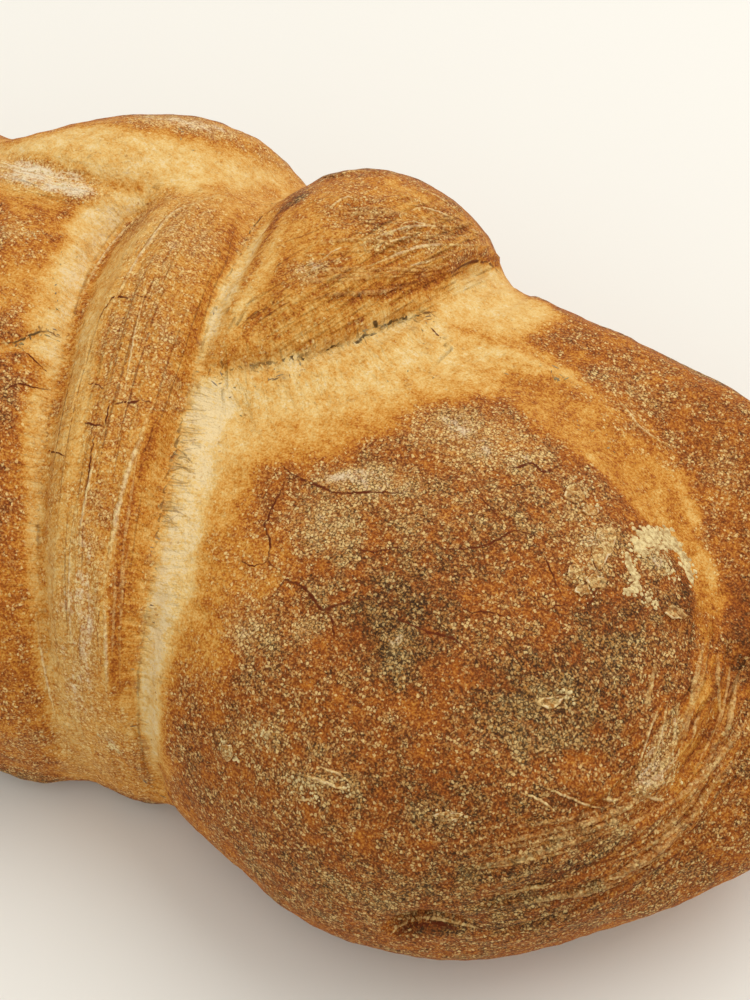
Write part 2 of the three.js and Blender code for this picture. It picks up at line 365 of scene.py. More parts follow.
# Bigger wrinkles and folds, each with its height, its width and its line.
WRINKLE_ENDS = 0.004
WRINKLES = [
    (0.0016, 0.0018, [(440, 276), (456, 262), (474, 254), (490, 256), (503, 268)]),
    (0.0007, 0.0012, [(346, 254), (370, 240), (392, 233), (408, 227), (440, 226), (470, 228)]),
    (0.0007, 0.0011, [(340, 263), (364, 256), (392, 243), (420, 238), (452, 239)]),
    (0.0008, 0.0012, [(352, 274), (380, 264), (408, 252), (432, 247), (460, 247), (488, 249)]),
    (0.0006, 0.0011, [(364, 281), (400, 271), (432, 262), (460, 256)]),
    (0.0007, 0.0012, [(406, 214), (420, 209), (438, 213), (460, 221)]),
    (0.0006, 0.0011, [(324, 214), (336, 204), (348, 198), (362, 202)]),
    (0.0006, 0.0012, [(376, 207), (392, 201), (408, 192)]),
    (0.0006, 0.0014, [(300, 262), (318, 246), (338, 234), (360, 226)]),
    (0.0010, 0.0016, [(748, 720), (736, 740), (720, 760), (704, 780), (690, 792), (672, 806),
                      (652, 816), (626, 830), (600, 838)]),
    (0.0008, 0.0014, [(740, 760), (716, 784), (696, 816), (672, 836), (640, 854), (610, 866),
                      (560, 884)]),
    (0.0007, 0.0013, [(704, 640), (696, 680), (688, 720), (680, 752)]),
    (0.0007, 0.0013, [(718, 640), (718, 680), (720, 716)]),
    (0.0008, 0.0014, [(740, 670), (734, 690), (730, 720), (724, 742)]),
    (0.0008, 0.0013, [(628, 795), (640, 789), (654, 786), (675, 779)]),
    (0.0006, 0.0012, [(640, 690), (632, 712), (622, 735), (606, 756)]),
    (0.0006, 0.0012, [(660, 690), (650, 716), (640, 740), (630, 770)]),
    (0.0006, 0.0013, [(560, 770), (590, 790), (620, 802), (650, 800)]),
    (0.0006, 0.0013, [(520, 800), (555, 815), (590, 822), (640, 822)]),
    (0.0006, 0.0013, [(500, 860), (540, 862), (580, 858), (620, 846)]),
    (0.0006, 0.0014, [(296, 772), (318, 778), (340, 786), (366, 790)]),
    (0.0005, 0.0013, [(230, 690), (250, 712), (276, 726), (300, 728)]),
    (0.0006, 0.0013, [(614, 395), (628, 412), (640, 428), (658, 440), (675, 452)]),
]
for height, width, stops in WRINKLES:
    raise_along(stops, height, width, WRINKLE_ENDS, 3)

# The cream ridge down the strap, and the lower one beside its left edge.
STRAP_RIDGE = [
    (151, 402), (145, 424), (139, 442), (128, 470), (120, 500), (113, 535), (107, 570),
    (104, 596), (105, 629), (107, 706),
]
STRAP_LOW_RIDGE = [(36, 610), (41, 650), (49, 690), (62, 738), (74, 775)]
RIDGE_WIDTH = 0.0013
RIDGE_ENDS = 0.012
raise_along(STRAP_RIDGE, 0.0011, RIDGE_WIDTH, RIDGE_ENDS)
raise_along(STRAP_LOW_RIDGE, 0.0009, RIDGE_WIDTH, RIDGE_ENDS)

# Marks on the head: blisters and flour lumps stand up, craters are pressed in. Each is
# its middle, its half length and half width in pixels, its turn and its height.
MARKS = [
    ((400, 641), (24, 11), 6, 0.0010),
    ((555, 699), (16, 9), -15, -0.0012),
    ((655, 560), (26, 22), 50, 0.0011),
    ((599, 548), (13, 20), 10, 0.0010),
    ((673, 615), (15, 11), 10, 0.0009),
    ((448, 816), (20, 9), 5, 0.0007),
    ((228, 751), (14, 10), -10, 0.0011),
    ((520, 795), (22, 8), 20, 0.0006),
    ((354, 207), (9, 6), 0, -0.0010),
    ((560, 375), (9, 5), 20, -0.0010),
]
place_in_photo = pixels_of(points)
toward = np.array(eye) - points
toward /= np.linalg.norm(toward, axis=1)[:, None]
# What is drawn over the photograph fades out where the skin turns away from the eye.
GRAZING = 0.34
OVAL_FULLNESS = 1.3
seen = ease(np.einsum("ij,ij->i", facing, toward) / GRAZING)


def oval(middle, halves, turn):
    """1 in the middle of an oval drawn over the photograph, and 0 past its rim."""
    turn = math.radians(turn)
    off = place_in_photo - np.array(middle)
    x = (off[:, 0] * math.cos(turn) + off[:, 1] * math.sin(turn)) / halves[0]
    y = (off[:, 1] * math.cos(turn) - off[:, 0] * math.sin(turn)) / halves[1]
    return ease(OVAL_FULLNESS * (1 - np.hypot(x, y))) * seen


for middle, halves, turn, height in MARKS:
    lift += height * oval(middle, halves, turn)

# A pocket folded in low on the head's near side, open to the left.
POCKET = [(396, 935), (410, 925), (430, 921), (465, 925), (500, 931)]
POCKET_DEPTH = 0.0065
POCKET_WIDTH = 0.0026
POCKET_MOUTH = 0.003
POCKET_RUNOUT = 0.020
which, gap, run, _, length = beside(trace(POCKET, 3), POCKET_WIDTH * RIDGE_REACH)
lift[which] -= (
    POCKET_DEPTH * np.exp(-(gap / POCKET_WIDTH) ** 2) * ease((length - run) / POCKET_RUNOUT)
    * ease(run / POCKET_MOUTH)
)

# The underside stays as flat as the solid's.
BASE_KEEP = 0.006
lift *= ease(points[:, 2] / BASE_KEEP)
points = points + facing * lift[:, None]
points[:, 2] = np.maximum(points[:, 2], 0)
write_skin(points)
points, facing = read_skin()
surface = BVHTree.FromPolygons(
    points.tolist(), [tuple(p.vertices) for p in skin.polygons],
)
place_in_photo = pixels_of(points)

# How the crust baked: 0 is the palest stretched dough and 1 the darkest crust. Crests
# brown and hollows stay pale all over the loaf, and the head's face is given patch by patch.
HOLLOW_ROUNDS = 60
HOLLOW_DEPTH = 0.0011
CREST_BAKE = 0.53
HOLLOW_GAIN = 0.29
BAKE_CLOUDS = 0.10
CREST_FLOUR = 0.35
HOLLOW_LOSS = 0.25
FLOUR_CLOUDS = 0.45

evened = np.stack([spread(points[:, i], HOLLOW_ROUNDS) for i in range(3)], axis=1)
hollow = np.einsum("ij,ij->i", evened - points, facing)
hollow = np.clip(hollow / HOLLOW_DEPTH, -0.9, 1.4)
bake = CREST_BAKE - HOLLOW_GAIN * hollow + BAKE_CLOUDS * mottle(points, 0.030, 4, 3)
flour = CREST_FLOUR - HOLLOW_LOSS * hollow + FLOUR_CLOUDS * mottle(points, 0.024, 5, 3)
layers = {
    "bake": bake, "flour": np.clip(flour, 0, 1), "grey": np.zeros(count),
    "long_amount": long_amount,
}
# How far the edges of what is drawn over the photograph wander, in pixels.
BORDER_WANDER = 8
border = mottle(points, 0.009, 21, 4)


def patch(layer, stops, value, softness, amount=1.0):
    """Brings a layer towards a value inside an outline drawn over the photograph."""
    ring = smooth_line(list(stops) + [stops[0]], 12)
    inside = np.zeros(count, bool)
    nearest = np.full(count, np.inf)
    x, y = place_in_photo.T
    for (ax, ay), (bx, by) in zip(ring[:-1], ring[1:]):
        crosses = (ay > y) != (by > y)
        with np.errstate(divide="ignore", invalid="ignore"):
            cut = (bx - ax) * (y - ay) / (by - ay) + ax
        inside ^= crosses & (x < cut)
        length = (bx - ax) ** 2 + (by - ay) ** 2
        t = np.clip(((x - ax) * (bx - ax) + (y - ay) * (by - ay)) / max(length, 1e-9), 0, 1)
        nearest = np.minimum(nearest, np.hypot(x - ax - t * (bx - ax), y - ay - t * (by - ay)))
    depth = np.where(inside, nearest, -nearest) + border * min(BORDER_WANDER, softness)
    weight = ease(0.5 + depth / softness / 2) * seen * amount
    layers[layer] += (value - layers[layer]) * weight


def stroke(layer, stops, value, width, amount=1.0, ends=0.008):
    """Brings a layer towards a value along a line drawn over the photograph."""
    which, gap, run, _, length = beside(trace(stops), width * STROKE_REACH)
    weight = np.exp(-(gap / width) ** 2) * taper(run, length, ends) * amount
    layers[layer][which] += (value - layers[layer][which]) * weight


def dab(layer, middle, halves, turn, value, amount=1.0):
    """Brings a layer towards a value inside an oval drawn over the photograph."""
    layers[layer] += (value - layers[layer]) * oval(middle, halves, turn) * amount


HEAD_WEB = [
    (192, 385), (290, 362), (380, 336), (440, 312), (520, 340), (600, 385), (680, 480),
    (730, 600), (725, 720), (640, 800), (300, 860), (172, 812), (138, 760), (140, 650),
    (165, 505),
]
CAP_FRINGE = [
    (160, 800), (156, 730), (164, 668), (174, 620), (187, 570), (200, 520), (216, 478),
    (242, 446), (300, 420), (370, 402), (430, 386), (480, 372), (520, 378), (560, 392),
    (600, 412), (640, 444), (668, 480), (690, 520), (708, 570), (718, 612), (716, 650),
    (704, 694), (740, 720), (600, 860), (300, 860),
]
HEAD_CAP = [
    (166, 800), (164, 740), (176, 685), (194, 645), (218, 604), (234, 560), (246, 520),
    (256, 490), (286, 464), (340, 444), (390, 428), (430, 413), (470, 398), (500, 400),
    (540, 434), (580, 460), (618, 494), (646, 528), (668, 552), (684, 585), (694, 625),
    (696, 655), (690, 700), (740, 720), (850, 700), (900, 900), (600, 1010), (330, 1000),
    (190, 900),
]
CAP_RIGHT = [
    (470, 402), (500, 397), (540, 430), (580, 455), (620, 490), (650, 523), (670, 540),
    (690, 578), (701, 622), (700, 655), (692, 700), (650, 720), (600, 640), (560, 560),
    (500, 470),
]
OUTER_STRAND = [
    (505, 338), (540, 350), (562, 362), (592, 384), (626, 408), (656, 438), (680, 470),
    (700, 520), (714, 575), (724, 615), (722, 655), (712, 700), (850, 720), (900, 500),
    (760, 380), (640, 310), (590, 290), (545, 322),
]
GROOVE_BAND = [
    (486, 372), (520, 368), (560, 378), (600, 398), (640, 432), (668, 474), (690, 518),
    (708, 570), (720, 612), (718, 650), (704, 694), (696, 690), (702, 655), (702, 622),
    (692, 580), (671, 538), (652, 521), (622, 488), (582, 453), (542, 428), (502, 396),
]
SHOULDER_TOP = [
    (312, 176), (350, 160), (440, 180), (530, 262), (510, 272), (496, 260), (476, 257),
    (458, 266), (442, 280), (420, 290), (392, 297), (366, 303), (340, 304), (310, 312),
    (284, 322), (262, 334), (246, 346), (232, 358), (224, 360), (232, 344), (246, 322),
    (258, 304), (268, 284), (274, 262), (279, 242), (285, 224), (297, 208),
]
SHOULDER_LOW = [
    (290, 206), (276, 226), (263, 246), (254, 264), (246, 282), (235, 302), (222, 328),
    (209, 350), (200, 367), (214, 372), (236, 365), (260, 361), (279, 358), (304, 352),
    (336, 343), (372, 330), (392, 321), (410, 314), (440, 308), (456, 290), (456, 268),
    (400, 250), (330, 230),
]
STRAP_PALE = [
    (170, 200), (130, 230), (100, 268), (80, 310), (66, 360), (56, 420), (48, 500),
    (46, 600), (54, 690), (66, 740), (84, 740), (76, 660), (72, 580), (78, 500),
    (84, 440), (92, 390), (99, 340), (110, 308), (126, 276), (144, 246), (164, 218),
    (182, 200),
]
FLOURED_TRIANGLE = [
    (629, 796), (646, 754), (660, 724), (679, 702), (680, 740), (675, 781), (654, 788),
]
STRAP_SIDE = [
    (170, 396), (154, 430), (142, 470), (131, 520), (122, 580), (118, 640), (118, 700),
    (126, 745), (147, 795), (160, 802), (149, 780), (138, 735), (136, 690), (139, 650),
    (144, 615), (149, 580), (155, 535), (160, 505), (166, 471), (175, 442), (184, 400),
]
WHITE_DOUGH = [
    (186, 400), (200, 384), (226, 380), (244, 392), (238, 420), (224, 440), (216, 480),
    (204, 520), (196, 560), (186, 600), (170, 640), (162, 690), (158, 760), (150, 770),
    (142, 730), (140, 690), (146, 630), (158, 560), (166, 510), (176, 455),
]
WHITEST_DOUGH = [((204, 440), (26, 80), 14, 0.0), ((155, 655), (12, 80), 6, 0.02)]
SHOULDER_LIP = [
    (448, 276), (460, 266), (476, 261), (491, 264), (504, 276), (516, 290), (488, 296),
    (462, 296),
]
UNDER_CRACK = [
    (190, 378), (214, 379), (236, 371), (260, 367), (304, 358), (336, 349), (372, 337),
    (410, 321), (440, 312), (462, 290), (500, 286), (530, 276), (570, 300), (640, 330),
    (640, 420), (480, 430), (300, 450), (200, 430),
]
PALE_FOLD = [(446, 308), (475, 282), (520, 268), (560, 300), (545, 325), (500, 335)]
STRAP_FACE = [
    (165, 192), (230, 184), (282, 194), (238, 257), (214, 296), (191, 383), (166, 501),
    (147, 603), (137, 700), (150, 795), (72, 790), (50, 700), (40, 600), (42, 470),
    (60, 370), (80, 300), (112, 238),
]
FAR_FLANK = [
    (-80, 125), (60, 118), (150, 128), (235, 155), (285, 185), (165, 192), (60, 172),
    (-80, 150),
]
FAR_CREST = [
    (-60, 90), (100, 80), (200, 95), (280, 140), (255, 158), (200, 142), (150, 130),
    (100, 122), (-60, 128),
]
NEAR_FLANK = [
    (155, 196), (95, 196), (70, 225), (40, 280), (25, 330), (60, 332), (75, 300),
    (112, 238),
]
FAR_END = [(200, 105), (260, 130), (320, 175), (300, 195), (270, 190), (200, 160)]
NEAR_FLOURED = [(-60, 150), (40, 160), (102, 184), (80, 196), (30, 200), (-60, 190)]
NEAR_TRIANGLE = [(16, 345), (60, 335), (64, 372), (45, 362)]
NEAR_LOW_FLANK = [(22, 395), (52, 392), (46, 450), (40, 540), (28, 520), (24, 450)]
# Lines of browned or stretched crust.
SHOULDER_GOLD = [(288, 212), (276, 240), (266, 262), (254, 286), (240, 308), (224, 334)]
SHOULDER_GUTTER = [(267, 222), (253, 248), (238, 280), (222, 312), (207, 345), (201, 366)]
SHOULDER_CURL = [(440, 276), (456, 263), (474, 255), (490, 257), (503, 270)]
GROOVE_END = [(686, 560), (700, 600), (708, 650), (700, 700)]
GROOVE_PALE = [(620, 462), (645, 496), (672, 536), (692, 580), (704, 620)]
GROOVE_START = [(440, 322), (480, 336), (519, 349), (545, 362), (570, 376)]
OUTER_EDGE = [(570, 376), (600, 392), (625, 415), (650, 443), (680, 462)]

patch("long_amount", UNDER_CRACK, 0, 4)
patch("bake", HEAD_WEB, 0.17, 16)
patch("bake", CAP_FRINGE, 0.33, 16)
patch("bake", HEAD_CAP, 0.68, 24)
patch("bake", CAP_RIGHT, 0.68, 6)
patch("bake", OUTER_STRAND, 0.60, 8)
patch("bake", GROOVE_BAND, 0.46, 6)
stroke("bake", GROOVE_END, 0.56, 0.0030, 0.8)
stroke("bake", GROOVE_PALE, 0.33, 0.0012, 0.7)
stroke("bake", OUTER_EDGE, 0.62, 0.0022, 0.8)
patch("bake", WHITE_DOUGH, 0.08, 8)
for middle, halves, turn, value in WHITEST_DOUGH:
    dab("bake", middle, halves, turn, value)
patch("bake", SHOULDER_LOW, 0.35, 3)
patch("bake", SHOULDER_TOP, 0.46, 5)
stroke("bake", SHOULDER_GOLD, 0.25, 0.0016, 0.9)
stroke("bake", SHOULDER_GUTTER, 0.07, 0.0030, 0.95, 0.010)
patch("bake", SHOULDER_LIP, 0.14, 2)
patch("bake", PALE_FOLD, 0.15, 14)
patch("bake", STRAP_FACE, 0.43, 4)
patch("bake", STRAP_PALE, 0.24, 3)
patch("bake", STRAP_SIDE, 0.40, 1.5)
patch("bake", FAR_END, 0.36, 10)
patch("bake", FAR_FLANK, 0.16, 14)
patch("bake", FAR_CREST, 0.44, 12)
patch("bake", NEAR_FLANK, 0.09, 12)
patch("bake", NEAR_LOW_FLANK, 0.22, 12)
patch("bake", NEAR_FLOURED, 0.32, 12)
patch("bake", NEAR_TRIANGLE, 0.08, 6)

# Where the oven caught it most, and where it stayed lighter, and at the end two dabs of
# painted shade: ovals, each with its middle, its half lengths, its turn and how far it
# baked.
BROWNING_AND_SHADE_SHARE = 0.75
BROWNING_AND_SHADE_DABS = [
    ((400, 625), (85, 90), 0, 0.92), ((545, 700), (120, 80), 0, 0.90),
    ((610, 625), (70, 70), 0, 0.86), ((430, 800), (150, 60), 10, 0.84),
    ((480, 890), (190, 60), 0, 0.86), ((320, 880), (110, 60), 30, 0.76),
    ((740, 640), (34, 110), 0, 0.80), ((700, 430), (60, 90), -40, 0.68),
    ((480, 440), (110, 45), 10, 0.60), ((214, 625), (38, 110), 10, 0.40),
    ((262, 560), (50, 60), 0, 0.50), ((700, 760), (70, 110), 30, 0.52),
    ((390, 222), (80, 28), 20, 0.56), ((330, 288), (60, 16), -15, 0.38),
    ((430, 280), (60, 10), -18, 0.72), ((370, 293), (60, 9), -8, 0.60),
    ((20, 285), (55, 70), 0, 0.37), ((30, 225), (60, 34), 10, 0.40),
    ((10, 620), (40, 130), 0, 0.46), ((30, 730), (60, 50), 0, 0.52),
    ((655, 560), (26, 20), 40, 0.82), ((665, 603), (30, 14), 10, 0.84),
    ((80, 620), (38, 170), 0, 0.25), ((100, 740), (50, 50), 0, 0.30),
    ((480, 368), (46, 16), 15, 0.34), ((250, 580), (40, 75), 0, 0.43),
    ((560, 800), (60, 24), 0, 0.76), ((460, 560), (60, 40), 0, 0.78),
    ((686, 592), (11, 30), -10, 0.86), ((400, 374), (50, 12), -5, 0.24),
    ((470, 344), (34, 8), 12, 0.30), ((525, 366), (30, 8), 22, 0.34),
    ((500, 322), (24, 6), 10, 0.24), ((350, 366), (40, 8), -12, 0.24),
    ((270, 392), (40, 9), -8, 0.22), ((300, 402), (60, 12), -8, 0.22),
    ((70, 480), (20, 90), 8, 0.34),
    # The last two are painted shade: in the middle seam under the far strand's flank, and in the
    # pocket low on the head's near side.
    ((126, 187), (34, 9), 10, 0.56), ((435, 930), (50, 10), 0, 1.0),
]
for middle, halves, turn, value in BROWNING_AND_SHADE_DABS:
    dab("bake", middle, halves, turn, value, BROWNING_AND_SHADE_SHARE)
STRAP_EDGE = [
    (240, 205), (232, 235), (226, 262), (213, 285), (206, 305), (194, 340), (184, 370),
    (174, 392),
]
STRAP_BURN = [
    (164, 396), (152, 430), (141, 465), (131, 500), (124, 540), (118, 580), (115, 620),
    (113, 660), (112, 705),
]
STRAP_GOLD = [
    (176, 405), (163, 450), (150, 510), (140, 560), (131, 620), (128, 680), (130, 720),
]
STRAP_RIM = [(150, 204), (122, 236), (100, 268), (86, 300), (72, 345), (62, 395), (54, 440)]
STRAP_TOP_PALE = [(165, 212), (140, 245), (118, 285), (98, 330)]
STRAP_FOOT = [(128, 735), (136, 757), (145, 780), (153, 796)]
stroke("bake", STRAP_EDGE, 0.60, 0.0011, 0.7)
stroke("bake", STRAP_BURN, 0.58, 0.0020, 0.95)
stroke("bake", STRAP_RIM, 0.60, 0.0017, 0.8)
stroke("bake", STRAP_TOP_PALE, 0.28, 0.0035, 0.7)
stroke("bake", STRAP_FOOT, 0.56, 0.0014, 0.8)
stroke("bake", STRAP_RIDGE, 0.16, 0.0007, 0.9)
stroke("bake", SHOULDER_CURL, 0.62, 0.0012, 0.9, 0.002)
stroke("bake", STRAP_LOW_RIDGE, 0.25, 0.0012, 0.7)
stroke("bake", GROOVE_START, 0.50, 0.0014, 0.7)

# Flour lies where the loaf was dusted and the skin did not stretch: ovals like those
# above, with how much of it there is.
FLOUR_SOFTNESS = 14
FLOURINGS = [
    ((480, 440), (110, 42), 10, 1.3), ((322, 522), (60, 50), 0, 1.15),
    ((350, 477), (52, 13), -4, 2.1), ((420, 500), (110, 50), 0, 0.72),
    ((385, 482), (50, 24), 0, 1.25), ((575, 500), (40, 50), 60, 0.75),
    ((592, 550), (28, 56), 0, 1.35),
    ((330, 780), (60, 20), 0, 0.8), ((255, 735), (50, 30), 0, 0.9),
    ((248, 632), (36, 30), 0, 1.0), ((303, 628), (30, 18), 30, 1.15),
    ((552, 701), (36, 22), 0, 1.35), ((400, 641), (26, 10), 5, 1.7),
    ((655, 560), (24, 20), 40, 1.4), ((545, 720), (80, 40), 0, 0.7),
    ((430, 820), (120, 30), 0, 0.7),
    ((560, 850), (100, 40), -10, 0.6), ((560, 802), (60, 20), 0, 0.2),
    ((690, 730), (56, 100), 25, 0.05), ((420, 900), (180, 50), 0, 0.7),
    ((308, 270), (28, 14), -15, 1.7), ((44, 178), (100, 24), 12, 2.0),
    ((390, 230), (110, 44), 10, 0.75), ((430, 282), (60, 10), -18, 0.0),
    ((160, 240), (70, 60), -40, 0.95), ((62, 430), (22, 110), 8, 0.6),
    ((720, 470), (30, 60), 0, 0.8), ((15, 232), (36, 12), 0, 1.1),
    # These two keep flour off the painted shade in the middle seam and in the pocket.
    ((128, 187), (30, 10), 10, 0.0), ((432, 928), (46, 9), 0, 0.0),
    ((180, 120), (110, 16), 10, 1.55), ((78, 640), (38, 180), 0, 1.4),
    ((108, 742), (22, 18), 0, 1.1), ((10, 610), (30, 110), 0, 0.15),
    ((640, 400), (80, 60), 40, 0.6), ((740, 640), (34, 110), 0, 0.1),
]
SHORT_OF_FLOUR = [
    (HEAD_WEB, 0.0), (OUTER_STRAND, 0.34), (SHOULDER_TOP, 0.34), (HEAD_CAP, 0.50),
    (STRAP_FACE, 0.82), (NEAR_FLANK, 0.0), (FAR_FLANK, 0.1), (PALE_FOLD, 0.0),
    (SHOULDER_LOW, 0.1), (STRAP_PALE, 0.30),
]
for stops, value in SHORT_OF_FLOUR:
    patch("flour", stops, value, FLOUR_SOFTNESS)
for middle, halves, turn, value in FLOURINGS:
    dab("flour", middle, halves, turn, value)
patch("flour", FLOURED_TRIANGLE, 1.30, 2)
# The smooth bare bands along the strap have little flour and little grain.
BARE_WIDTH = 0.0028
BARE_SHARE = 0.85
for stops in (STRAP_BURN, STRAP_GOLD, STRAP_EDGE):
    stroke("flour", stops, -0.2, BARE_WIDTH)
    which, gap, _, _, _ = beside(trace(stops), BARE_WIDTH * STROKE_REACH)
    long_amount[which] *= 1 - BARE_SHARE * np.exp(-(gap / BARE_WIDTH) ** 2)

# The torn dough along the seams is greyed, partly by the lavender in it and partly as painted
# shade in the seams.
GREYED = [(STRAP_RIGHT, 0.4, 0.0024), (SHOULDER_CRACK, 0.45, 0.0020), (NEAR_CREASE, 0.4, 0.002)]
for stops, value, width in GREYED:
    stroke("grey", stops, value, width)
# Grey spots beside the seams: partly the lavender's tint and partly painted shade.
GREY_SPOTS = [
    ((195, 394), (16, 18), 0, 0.75), ((188, 425), (12, 12), 0, 0.5),
    ((183, 455), (12, 22), 10, 0.6), ((168, 506), (10, 8), 0, 0.6),
    ((153, 527), (8, 8), 0, 0.6), ((146, 614), (8, 8), 0, 0.7),
    ((142, 648), (7, 20), 0, 0.6), ((139, 682), (7, 16), 0, 0.7),
    ((146, 745), (8, 26), -15, 0.6), ((286, 373), (18, 14), 20, 0.55),
    ((412, 330), (20, 7), -10, 0.6), ((372, 328), (14, 10), 0, 0.6),
    ((246, 258), (8, 30), 22, 0.1),
]
for middle, halves, turn, value in GREY_SPOTS:
    dab("grey", middle, halves, turn, value)

layers["bake"] = np.clip(layers["bake"], 0, 1)
layers["flour"] = np.clip(layers["flour"], 0, 2)


def keep_layer(mesh, name, values):
    """Stores a value for each point of a mesh, for the material to read."""
    vector = values.ndim == 2
    kind = "FLOAT_VECTOR" if vector else "FLOAT"
    layer = mesh.attributes.new(name, kind, "POINT")
    layer.data.foreach_set("vector" if vector else "value", values.astype(np.float32).ravel())


crust_layers = dict(
    layers, long_grain=long_grain, cross_grain=cross_grain, cross_amount=cross_amount,
)
for name, values in crust_layers.items():
    keep_layer(skin, name, values)


def srgb(red, green, blue):
    """A colour as the photograph shows it, turned into light."""
    values = [c / 255 for c in (red, green, blue)]
    return [c / 12.92 if c <= 0.04045 else ((c + 0.055) / 1.055) ** 2.4 for c in values] + [1]


BAKE_COLOURS = [
    (0.00, (236, 211, 160)), (0.12, (231, 194, 122)), (0.28, (219, 165, 84)),
    (0.43, (200, 132, 46)), (0.58, (168, 93, 26)), (0.73, (132, 65, 18)),
    (0.88, (92, 51, 18)), (1.00, (60, 37, 18)),
]
FLOUR_DARK = (184, 128, 60)
FLOUR_PALE = (238, 206, 138)
FLOUR_WHITE = (244, 228, 194)
GREY_COLOUR = (170, 154, 110)
# Dark marks: painted shade in cracks and folds, and a greyer painted shade in the seams.
SLIT_SHADE_COLOUR = (96, 38, 6)
SEAM_SHADE_COLOUR = (100, 76, 42)
TOASTED_FLOUR = (206, 156, 82)


class Recipe:
    """A short way of writing down a material's nodes."""

    def __init__(self, name):
        self.material = bpy.data.materials.new(name)
        self.material.use_nodes = True
        self.tree = self.material.node_tree
        self.shader = self.tree.nodes["Principled BSDF"]
        self.place = self.tree.nodes.new("ShaderNodeTexCoord").outputs["Object"]

    def feed(self, socket, value):
        if isinstance(value, bpy.types.NodeSocket):
            self.tree.links.new(value, socket)
        else:
            socket.default_value = value

    def add(self, kind, inputs=(), **settings):
        made = self.tree.nodes.new(kind)
        for key, value in settings.items():
            setattr(made, key, value)
        for key, value in dict(inputs).items():
            self.feed(made.inputs[key], value)
        return made

    def math(self, operation, a, b=0.0, c=0.0):
        made = self.add("ShaderNodeMath", operation=operation)
        for socket, value in zip(made.inputs, (a, b, c)):
            self.feed(socket, value)
        return made.outputs[0]

    def times(self, a, b):
        return self.math("MULTIPLY", a, b)

    def total(self, start, *shares):
        """A value with others added to it, each by its share."""
        for value, share in shares:
            start = self.math("MULTIPLY_ADD", value, share, start)
        return start

    def grain(self, size, detail=3.0, roughness=0.55, place=None):
        place = self.place if place is None else place
        made = self.add("ShaderNodeTexNoise", {
            "Vector": place, "Scale": 1 / size, "Detail": detail, "Roughness": roughness,
        })
        return self.math("SUBTRACT", made.outputs[0], 0.5)

    def cells(self, size, feature="F1"):
        """Irregular cells: the distance in each, and two lots drawn for each."""
        made = self.add("ShaderNodeTexVoronoi", {"Scale": 1 / size}, feature=feature)
        self.feed(made.inputs["Vector"], self.place)
        if feature == "DISTANCE_TO_EDGE":
            return made.outputs["Distance"]
        lots = self.add("ShaderNodeSeparateColor", {"Color": made.outputs["Color"]})
        return made.outputs["Distance"], lots.outputs[0], lots.outputs[1]

    def layer(self, name, output="Fac"):
        return self.add("ShaderNodeAttribute", attribute_name=name).outputs[output]

    def mix(self, share, a, b):
        made = self.add("ShaderNodeMix", data_type="RGBA")
        self.feed(made.inputs[0], share)
        self.feed(made.inputs[6], a)
        self.feed(made.inputs[7], b)
        return made.outputs[2]

    def span(self, value, low, high, start=0.0, end=1.0):
        made = self.add("ShaderNodeMapRange", {
            "Value": value, "From Min": low, "From Max": high, "To Min": start, "To Max": end,
        })
        return made.outputs[0]

    def ramp(self, value, colours):
        made = self.add("ShaderNodeValToRGB", {"Fac": value})
        stops = made.color_ramp.elements
        while len(stops) < len(colours):
            stops.new(0.5)
        for stop, (place, colour) in zip(stops, colours):
            stop.position = place
            stop.color = srgb(*colour)
        return made.outputs["Color"]


# Sizes of the grain, in metres: broad clouds, blotches, crumbs of crust, its finest
# tooth, the grain drawn along and across, the floury cobbles and the flour's dots.
CLOUD_SIZE = 0.016
BLOTCH_SIZE = 0.0045
CRUMB_SIZE = 0.0013
TOOTH_SIZE = 0.0005
STREAK_SIZE = 0.0011
RIDGE_SIZE = 0.0018
PULL_SIZE = 0.0012
COBBLE_SIZE = 0.00068
DOT_SIZE = 0.00054

baked = Recipe("browned_crust")
baked_amount = baked.layer("bake")
flour_amount = baked.layer("flour")
mark = baked.layer("mark")
clouds = baked.grain(CLOUD_SIZE, 4.0)
blotches = baked.grain(BLOTCH_SIZE, 4.0)
crumbs = baked.grain(CRUMB_SIZE, 3.0, 0.6)
fine = baked.grain(TOOTH_SIZE, 2.0, 0.6)
streaks = baked.grain(STREAK_SIZE, 3.0, place=baked.layer("long_grain", "Vector"))
streaks = baked.times(streaks, baked.layer("long_amount"))
ridges = baked.grain(RIDGE_SIZE, 1.0, place=baked.layer("long_grain", "Vector"))
ridges = baked.times(ridges, baked.layer("long_amount"))
pulls = baked.grain(PULL_SIZE, 3.0, place=baked.layer("cross_grain", "Vector"))
pulls = baked.times(pulls, baked.layer("cross_amount"))

# Flour that baked on: flat-topped cobbles with brown gaps between them, and small dots.
dusted = baked.total(flour_amount, (clouds, 1.1), (blotches, 1.9), (streaks, 1.4))
cover = baked.span(dusted, 0.0, 1.4, 0.0, 0.95)
_, first_lot, second_lot = baked.cells(COBBLE_SIZE)
cell_edge = baked.cells(COBBLE_SIZE, "DISTANCE_TO_EDGE")
cell_top = baked.span(baked.total(cell_edge, (fine, 0.22)), 0.04, 0.19)
drawn = baked.total(baked.math("SUBTRACT", cover, first_lot), (crumbs, 0.5))
toasted = baked.span(baked_amount, 0.62, 0.95, 1.0, 0.50)
cobbles = baked.times(baked.times(baked.span(drawn, -0.06, 0.10), cell_top), toasted)
dot_gap, dot_lot, dot_tone = baked.cells(DOT_SIZE)
dots = baked.math("LESS_THAN", dot_lot, baked.span(dusted, -0.1, 1.2, 0.12, 0.70))
dots = baked.times(dots, baked.span(dot_gap, 0.42, 0.12, 0.0, 1.0))
dots = baked.times(dots, baked.span(dot_tone, 0.1, 1.0, 0.12, 0.66))
dots = baked.times(dots, toasted)

